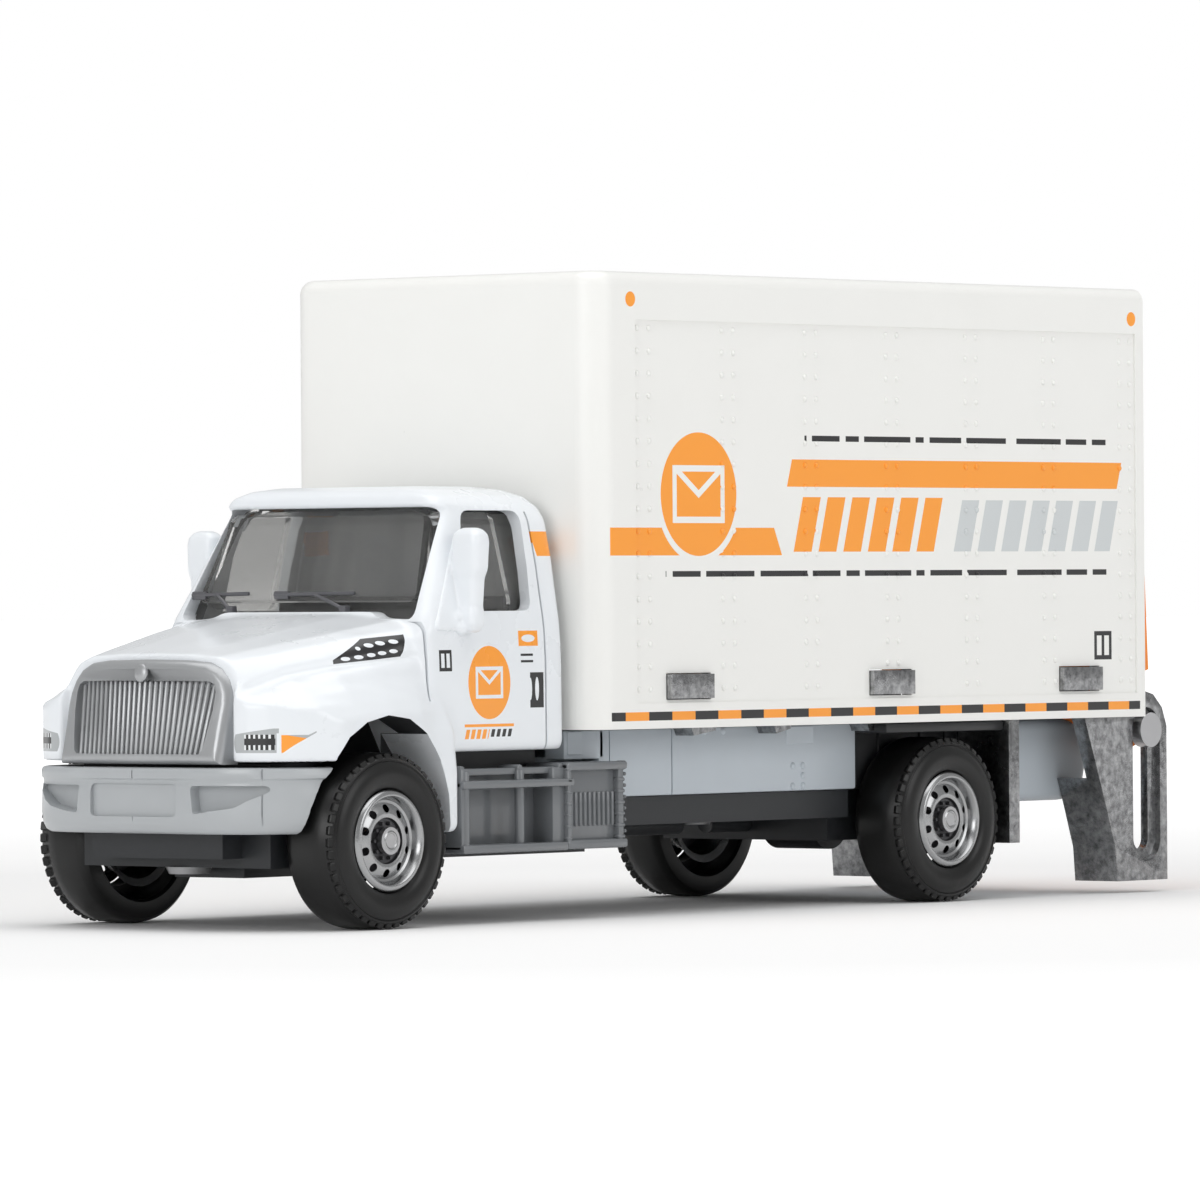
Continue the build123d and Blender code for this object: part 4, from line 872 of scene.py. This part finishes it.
for end in wheel_places:
    for side, hand in ((1, "left"), (-1, "right")):
        rim = spun(rim_section + rim_back, closed=False)
        bmesh.ops.recalc_face_normals(rim, faces=rim.faces)
        fit_wheel(rim, side, end)
        rim_piece = place_mesh(rim, f"rim_disc_{end}_{hand}")
        holes = bmesh.new()
        for index in range(hand_holes):
            turn = Matrix.Rotation(math.tau * (index + 0.5) / hand_holes, 4, "X")
            bmesh.ops.create_cone(holes, cap_ends=True, segments=14, radius1=0.36, radius2=0.36, depth=2.4,
                                  matrix=turn @ Matrix.Translation((-0.8, 2.7, 0))
                                  @ Matrix.Rotation(math.radians(90), 4, "Y"))
        fit_wheel(holes, side, end)
        carve(rim_piece, [place_mesh(holes, "hole_tool")])
        nuts = bmesh.new()
        for index in range(hub_nuts):
            turn = Matrix.Rotation(math.tau * index / hub_nuts, 4, "X")
            bmesh.ops.create_cone(nuts, cap_ends=True, segments=6, radius1=0.2, radius2=0.15, depth=0.45,
                                  matrix=turn @ Matrix.Translation((-0.78, 1.5, 0))
                                  @ Matrix.Rotation(math.radians(90), 4, "Y"))
        fit_wheel(nuts, side, end)
        add_to(rim_piece, place_mesh(nuts, "nuts"))
        rim_piece.data.materials.clear()
        rim_piece.data.materials.append(rim_silver)
        rim_piece.data.materials.append(hub_dark)
        centre = Vector((0, wheel_places[end] * 0.001, axle_height * 0.001))
        for face in rim_piece.data.polygons:
            away = (Vector(face.center) - centre)
            reach = math.hypot(away.y, away.z)
            if 0.00098 < reach < 0.0020 or reach < 0.00052:
                face.material_index = 1
        smooth_shade(rim_piece, 35)
        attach(rim_piece, f"wheel_{end}_{hand}")
        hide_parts(f"rim_{end}_{hand}")


# ---------------------------------------------------------------- steps and tool box
# Grey plastic moulding under each door: two step boards on upright posts, with a louvred tool box
# behind them. Pegged between the base and the sub-frame.
step_face = 16.38
step_inner = 11.5
for side, hand in ((1, "left"), (-1, "right")):
    steps = bmesh.new()
    block(steps, (step_inner, -37.15, 12.55), (15.5, -23.6, 13.15), 0.15)
    block(steps, (step_inner, -37.15, 6.0), (16.35, -23.6, 6.75), 0.2)
    block(steps, (14.9, -37.15, 11.45), (step_face, -22.8, 12.15), 0.2)
    block(steps, (13.2, -37.1, 6.3), (13.7, -23.5, 12.9), 0.1)
    block(steps, (13.0, -37.15, 6.2), (16.1, -36.2, 13.2), 0.18)
    block(steps, (13.0, -25.2, 6.2), (15.9, -23.6, 13.1), 0.15)
    rod(steps, (15.6, -29.2, 6.4), (15.6, -29.2, 13.0), 0.42, 12)
    rod(steps, (15.75, -36.5, 6.4), (15.75, -36.5, 13.0), 0.5, 12)
    for knob_y in (-36.6, -29.2, -23.9):
        rod(steps, (13.5, knob_y, 13.08), (15.75, knob_y, 13.08), 0.34, 12)
    # Tool box with a framed face.
    block(steps, (step_inner, -23.7, 6.05), (15.75, -15.85, 13.45), 0.15)
    block(steps, (15.3, -23.7, 12.75), (step_face, -15.85, 13.48), 0.22)
    block(steps, (15.3, -23.7, 6.05), (step_face, -15.85, 6.85), 0.22)
    block(steps, (15.3, -23.7, 6.1), (step_face - 0.05, -23.2, 13.4), 0.15)
    block(steps, (15.3, -17.0, 6.1), (step_face - 0.1, -16.3, 13.4), 0.15)
    for index in range(10):
        rib_y = -22.75 + index * 0.6
        rod(steps, (15.78, rib_y, 8.0), (15.78, rib_y, 10.9), 0.19, 8)
    for index in range(7):
        knot_z = 7.0 + index * 0.98
        block(steps, (15.6, -17.1, knot_z - 0.16), (step_face, -16.2, knot_z + 0.16), 0.1, 1)
        block(steps, (15.2, -16.15, knot_z + 0.3), (16.2, -15.82, knot_z + 0.62), 0.1, 1)
        block(steps, (15.6, -23.75, knot_z - 0.16), (step_face, -23.15, knot_z + 0.16), 0.1, 1)
    if side < 0:
        bmesh.ops.scale(steps, vec=(-1, 1, 1), verts=steps.verts)
    bmesh.ops.recalc_face_normals(steps, faces=steps.faces)
    step_piece = place_mesh(steps, f"step_unit_{hand}")
    if side > 0:
        step_grey = finish_material("step_grey", (0.165, 0.175, 0.185), 0.24, mottle=0.08, bump=0.03, coat=0.35)
    step_piece.data.materials.append(step_grey)
    smooth_shade(step_piece, 40)
    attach(step_piece, "chassis")
    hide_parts(f"step_box_{hand}")


# ---------------------------------------------------------------- sub-frame
# Pale grey moulding between the base and the cargo floor, with panel seams, rivet rows and patch
# plates standing on its two long sides.
skirt_half = 12.95
skirt = bmesh.new()
block(skirt, (-skirt_half, -15.72, 10.28), (skirt_half, 19.5, 16.1), 0.2)
block(skirt, (-11.0, -20.3, 10.3), (11.0, -15.0, 16.1), 0.2)
block(skirt, (-skirt_half, -20.3, 13.6), (skirt_half, -15.0, 16.1), 0.2)
block(skirt, (-9.4, 19.0, 10.3), (9.4, 37.2, 16.1), 0.2)
tail_side = [tuple(p) for p in rounded(((36.7, 8.55), (55.1, 8.55), (55.1, 16.1), (36.7, 16.1)), 3.7, 8)]
tail_block = prism(tail_side, "x", -11.85, 23.7)
ends = [edge for edge in tail_block.edges if abs(edge.verts[0].co.x - edge.verts[1].co.x) < 0.001]
bmesh.ops.bevel(tail_block, geom=ends, offset=1.1, affect="EDGES", segments=4, profile=0.5, material=-1)
take_in(skirt, tail_block)
for side in (1, -1):
    face = side * skirt_half
    for low, high in (((-5.8, 10.3), (-3.5, 14.5)), ((14.1, 10.25), (18.5, 12.6)), ((9.7, 14.4), (13.5, 16.0)),
                      ((-19.9, 14.0), (-17.9, 16.0))):
        inner_x, outer_x = sorted((face - side * 0.3, face + side * 0.05))
        block(skirt, (inner_x, low[0], low[1]), (outer_x, high[0], high[1]), 0.05, 1)
    studs = [(y, 10.7 + 0.84 * i) for y in (-1.5, 1.05) for i in range(7)]
    studs += [(y, 10.7 + 0.9 * i) for y in (10.6, 12.0) for i in range(3)]
    studs += [(y, 10.7 + 0.75 * i) for y in (14.7, 17.8) for i in range(3)]
    studs += [(y, 15.2) for y in (10.4, 11.6, 12.8)] + [(y, 13.0 + 0.84 * i) for y in (-13.6, -12.6) for i in range(4)]
    for y, z in studs:
        bmesh.ops.create_uvsphere(skirt, u_segments=8, v_segments=6, radius=1, matrix=Matrix.Translation(
            (face, y, z)) @ Matrix.Diagonal((0.2, 0.32, 0.32, 1)))
bmesh.ops.recalc_face_normals(skirt, faces=skirt.faces)
skirt_piece = place_mesh(skirt, "skirt_moulding")
seam_cuts = []
for side in (1, -1):
    for seam_y in (-14.3, -5.95, 5.4):
        groove = ((seam_y - 0.07, 10), (seam_y + 0.07, 10), (seam_y + 0.07, 16.2), (seam_y - 0.07, 16.2))
        seam_cuts.append(place_mesh(prism(groove, "x", side * (skirt_half - 0.2), side * 0.4), "seam"))
skirt_grey = finish_material("skirt_grey", (0.51, 0.56, 0.605), 0.34, mottle=0.05, bump=0.02)
carve(skirt_piece, seam_cuts)
skirt_piece.data.materials.clear()
skirt_piece.data.materials.append(skirt_grey)
smooth_shade(skirt_piece, 40)
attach(skirt_piece, "chassis")
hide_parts("subframe")


# ---------------------------------------------------------------- wheel housings
# Black moulded boxes over the rear wheels that close the space between the tyres, the sub-frame and the cargo floor;
# pressed on to the two sides of the sub-frame, one each side. Their black is partly the black plastic behind the
# wheels
# and partly painted shade: the top plate stands in for the shade in the gap above the tyres.
for side, hand in ((1, "left"), (-1, "right")):
    housing = bmesh.new()
    block(housing, (9.3, 19.6, 10.2), (11.1, 36.5, 16.12), 0.25)
    block(housing, (9.3, 19.6, 15.25), (16.4, 36.5, 16.12), 0.2)
    for rib_y in (21.5, 25.0, 31.0, 34.6):
        block(housing, (10.9, rib_y - 0.25, 10.6), (11.3, rib_y + 0.25, 15.6), 0.08, 1)
    if side < 0:
        bmesh.ops.scale(housing, vec=(-1, 1, 1), verts=housing.verts)
    bmesh.ops.recalc_face_normals(housing, faces=housing.faces)
    housing_piece = place_mesh(housing, f"wheel_housing_{hand}")
    if side > 0:
        housing_black_and_shade = finish_material("housing_black_and_shade", (0.022, 0.023, 0.025), 0.42, mottle=0.12, bump=0.03)
    housing_piece.data.materials.append(housing_black_and_shade)
    smooth_shade(housing_piece, 40)
    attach(housing_piece, "chassis")


# ---------------------------------------------------------------- cargo floor casting
# Bare zinc die casting: floor with lugs through the body sides, mud flaps and the slotted towers of
# the lift. Tumbled, not painted, so it is mottled dark and bright with small pits.
def zinc_material(name):
    material = finish_material(name, (0.36, 0.365, 0.37), 0.27, metal=1.0, mottle=0.25, grain=900, bump=0.3)
    tree = material.node_tree
    shader = tree.nodes["Principled BSDF"]
    place = tree.nodes["Texture Coordinate"]
    stain = tree.nodes.new("ShaderNodeTexNoise")
    stain.inputs["Scale"].default_value = 1300
    stain.inputs["Detail"].default_value = 9
    stain.inputs["Roughness"].default_value = 0.7
    ramp = tree.nodes.new("ShaderNodeValToRGB")
    ramp.color_ramp.elements[0].position = 0.3
    ramp.color_ramp.elements[0].color = (0.11, 0.11, 0.115, 1)
    ramp.color_ramp.elements[1].position = 0.7
    ramp.color_ramp.elements[1].color = (0.47, 0.475, 0.48, 1)
    tree.links.new(place.outputs["Object"], stain.inputs["Vector"])
    tree.links.new(stain.outputs["Fac"], ramp.inputs["Fac"])
    tree.links.new(ramp.outputs["Color"], shader.inputs["Base Color"])
    return material


zinc = zinc_material("bare_zinc")
casting = bmesh.new()
casting.from_mesh(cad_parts["frame_casting"].data)
bmesh.ops.remove_doubles(casting, verts=casting.verts, dist=0.00001)
bmesh.ops.dissolve_limit(casting, angle_limit=math.radians(0.5), verts=casting.verts, edges=casting.edges)
corners = [edge for edge in casting.edges if len(edge.link_faces) == 2 and edge.calc_face_angle() > 0.7]
bmesh.ops.bevel(casting, geom=corners, offset=0.00012, affect="EDGES", segments=2, profile=0.5, material=-1,
                clamp_overlap=True)
bmesh.ops.recalc_face_normals(casting, faces=casting.faces)
floor_casting = place_mesh(casting, "floor_casting", 1)
floor_casting.data.materials.append(zinc)
smooth_shade(floor_casting, 40)
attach(floor_casting, "chassis")
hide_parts("frame_casting")
gussets = bmesh.new()
for side in (1, -1):
    for low_y, high_y in ((-5.7, -2.4), (5.6, 7.9), (18.6, 24.0)):
        wedge = prism(((low_y, 16.15), (high_y, 16.15), (high_y, 15.85), (low_y + 0.3, 15.45)), "x",
                      side * 12.8, side * 2.2)
        take_in(gussets, wedge)
bmesh.ops.recalc_face_normals(gussets, faces=gussets.faces)
gusset_piece = place_mesh(gussets, "floor_gussets")
gusset_piece.data.materials.append(zinc)
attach(gusset_piece, "chassis")


# ---------------------------------------------------------------- cargo body
# White ABS body moulded in one with its posts, panels and rivet rows, open at the back, pad printed
# on both sides with the bands, a round badge, the marker lamps and a hazard strip along the sill.
box_white = finish_material("box_white", (0.86, 0.86, 0.835), 0.3, mottle=0.01, bump=0.006, coat=0.15)
inks = box_white.node_tree
side_x, along_y, up_z = millimetres(inks)
on_side = calc(inks, "GREATER_THAN", side_x, 16.9)
badge_ring = disc(inks, along_y, up_z, (-7.5, 36.4), 5.7, 5.95)
badge = disc(inks, along_y, up_z, (-7.5, 36.4), 5.1, 5.35)
letter = envelope(inks, along_y, up_z, (-7.5, 36.4), 3.5, 2.5, 0.55)
lower_end = calc(inks, "SUBTRACT", along_y, calc(inks, "MULTIPLY", up_z, -0.45))
lower_band = less(inks, both(inks, between(inks, up_z, 31.1, 33.5), calc(inks, "GREATER_THAN", along_y, -19.5),
                             calc(inks, "LESS_THAN", lower_end, 17.8)), badge_ring)
upper_end = calc(inks, "SUBTRACT", along_y, calc(inks, "MULTIPLY", up_z, 0.3))
upper_band = both(inks, between(inks, up_z, 37.1, 39.5), between(inks, upper_end, -6.6, 41.0))
orange_bars = slanted_bars(inks, along_y, up_z, 5.4, 25.8, 3.45, 0.72, 0.28, 31.4, 36.2)
grey_bars = slanted_bars(inks, along_y, up_z, 28.0, 51.0, 3.45, 0.72, 0.28, 31.4, 36.0)
lamps = either(inks, disc(inks, along_y, up_z, (-16.7, 53.1), 0.65, 0.65),
               disc(inks, along_y, up_z, (54.2, 52.7), 0.65, 0.65))
strip = both(inks, between(inks, up_z, 16.9, 17.65), between(inks, along_y, -19.45, 55.2))
dash = calc(inks, "FRACT", calc(inks, "ADD", calc(inks, "DIVIDE", calc(inks, "ADD", along_y, 19.2), 6.19), 0.25))
dark_dash = both(inks, strip, calc(inks, "LESS_THAN", dash, 0.5))
words = both(inks, calc(inks, "GREATER_THAN", calc(inks, "FRACT", calc(inks, "DIVIDE", along_y, 7.3)), 0.1),
             calc(inks, "GREATER_THAN", calc(inks, "FRACT", calc(inks, "DIVIDE", along_y, 11.9)), 0.07))
rules = both(inks, words, either(
    inks, both(inks, between(inks, up_z, 29.25, 29.75), between(inks, along_y, -12.0, 50.5)),
    both(inks, between(inks, up_z, 41.1, 41.6), between(inks, along_y, 7.0, 50.5))))
parcel = less(inks, both(inks, between(inks, along_y, 48.6, 51.2), between(inks, up_z, 21.5, 24.1)),
              either(inks, both(inks, between(inks, along_y, 49.0, 49.7), between(inks, up_z, 21.9, 23.7)),
                     both(inks, between(inks, along_y, 50.1, 50.8), between(inks, up_z, 21.9, 23.7))))
printed(inks, both(inks, on_side, either(inks, lower_band, upper_band, less(inks, badge, letter), orange_bars,
                                         lamps, strip)), print_orange)
printed(inks, both(inks, on_side, grey_bars), print_grey)
printed(inks, both(inks, on_side, either(inks, dark_dash, rules, parcel)), print_black)
dress("cargo_box", box_white)

rivets = bmesh.new()
for side in (1, -1):
    for offset in (-0.78, 0.78):
        bmesh.ops.create_uvsphere(rivets, u_segments=8, v_segments=5, radius=1, matrix=(
            Matrix.Translation((side * 17.5, -14.9 + offset, 19.6))
            @ Matrix.Rotation(math.radians(90), 4, "Y") @ Matrix.Diagonal((0.28, 0.28, 0.19, 1))))
rivet_rows = place_mesh(rivets, "body_rivet_rows")
for count, step in ((17, (0, 0, 0.00194)), (7, (0, 0.01137, 0))):
    row = rivet_rows.modifiers.new("row", "ARRAY")
    row.count = count
    row.use_relative_offset = False
    row.use_constant_offset = True
    row.constant_offset_displace = step
settle(rivet_rows)
rivet_rows.data.materials.clear()
rivet_rows.data.materials.append(box_white)
rivet_rows.data.shade_smooth()
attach(rivet_rows, "chassis")


# ---------------------------------------------------------------- lift platform
# Orange plastic tail lift platform, hinged on the steel pin and held up against the body end.
orange = finish_material("platform_orange", (0.90, 0.26, 0.02), 0.33, mottle=0.04, bump=0.02)
dress("lift_platform", orange)
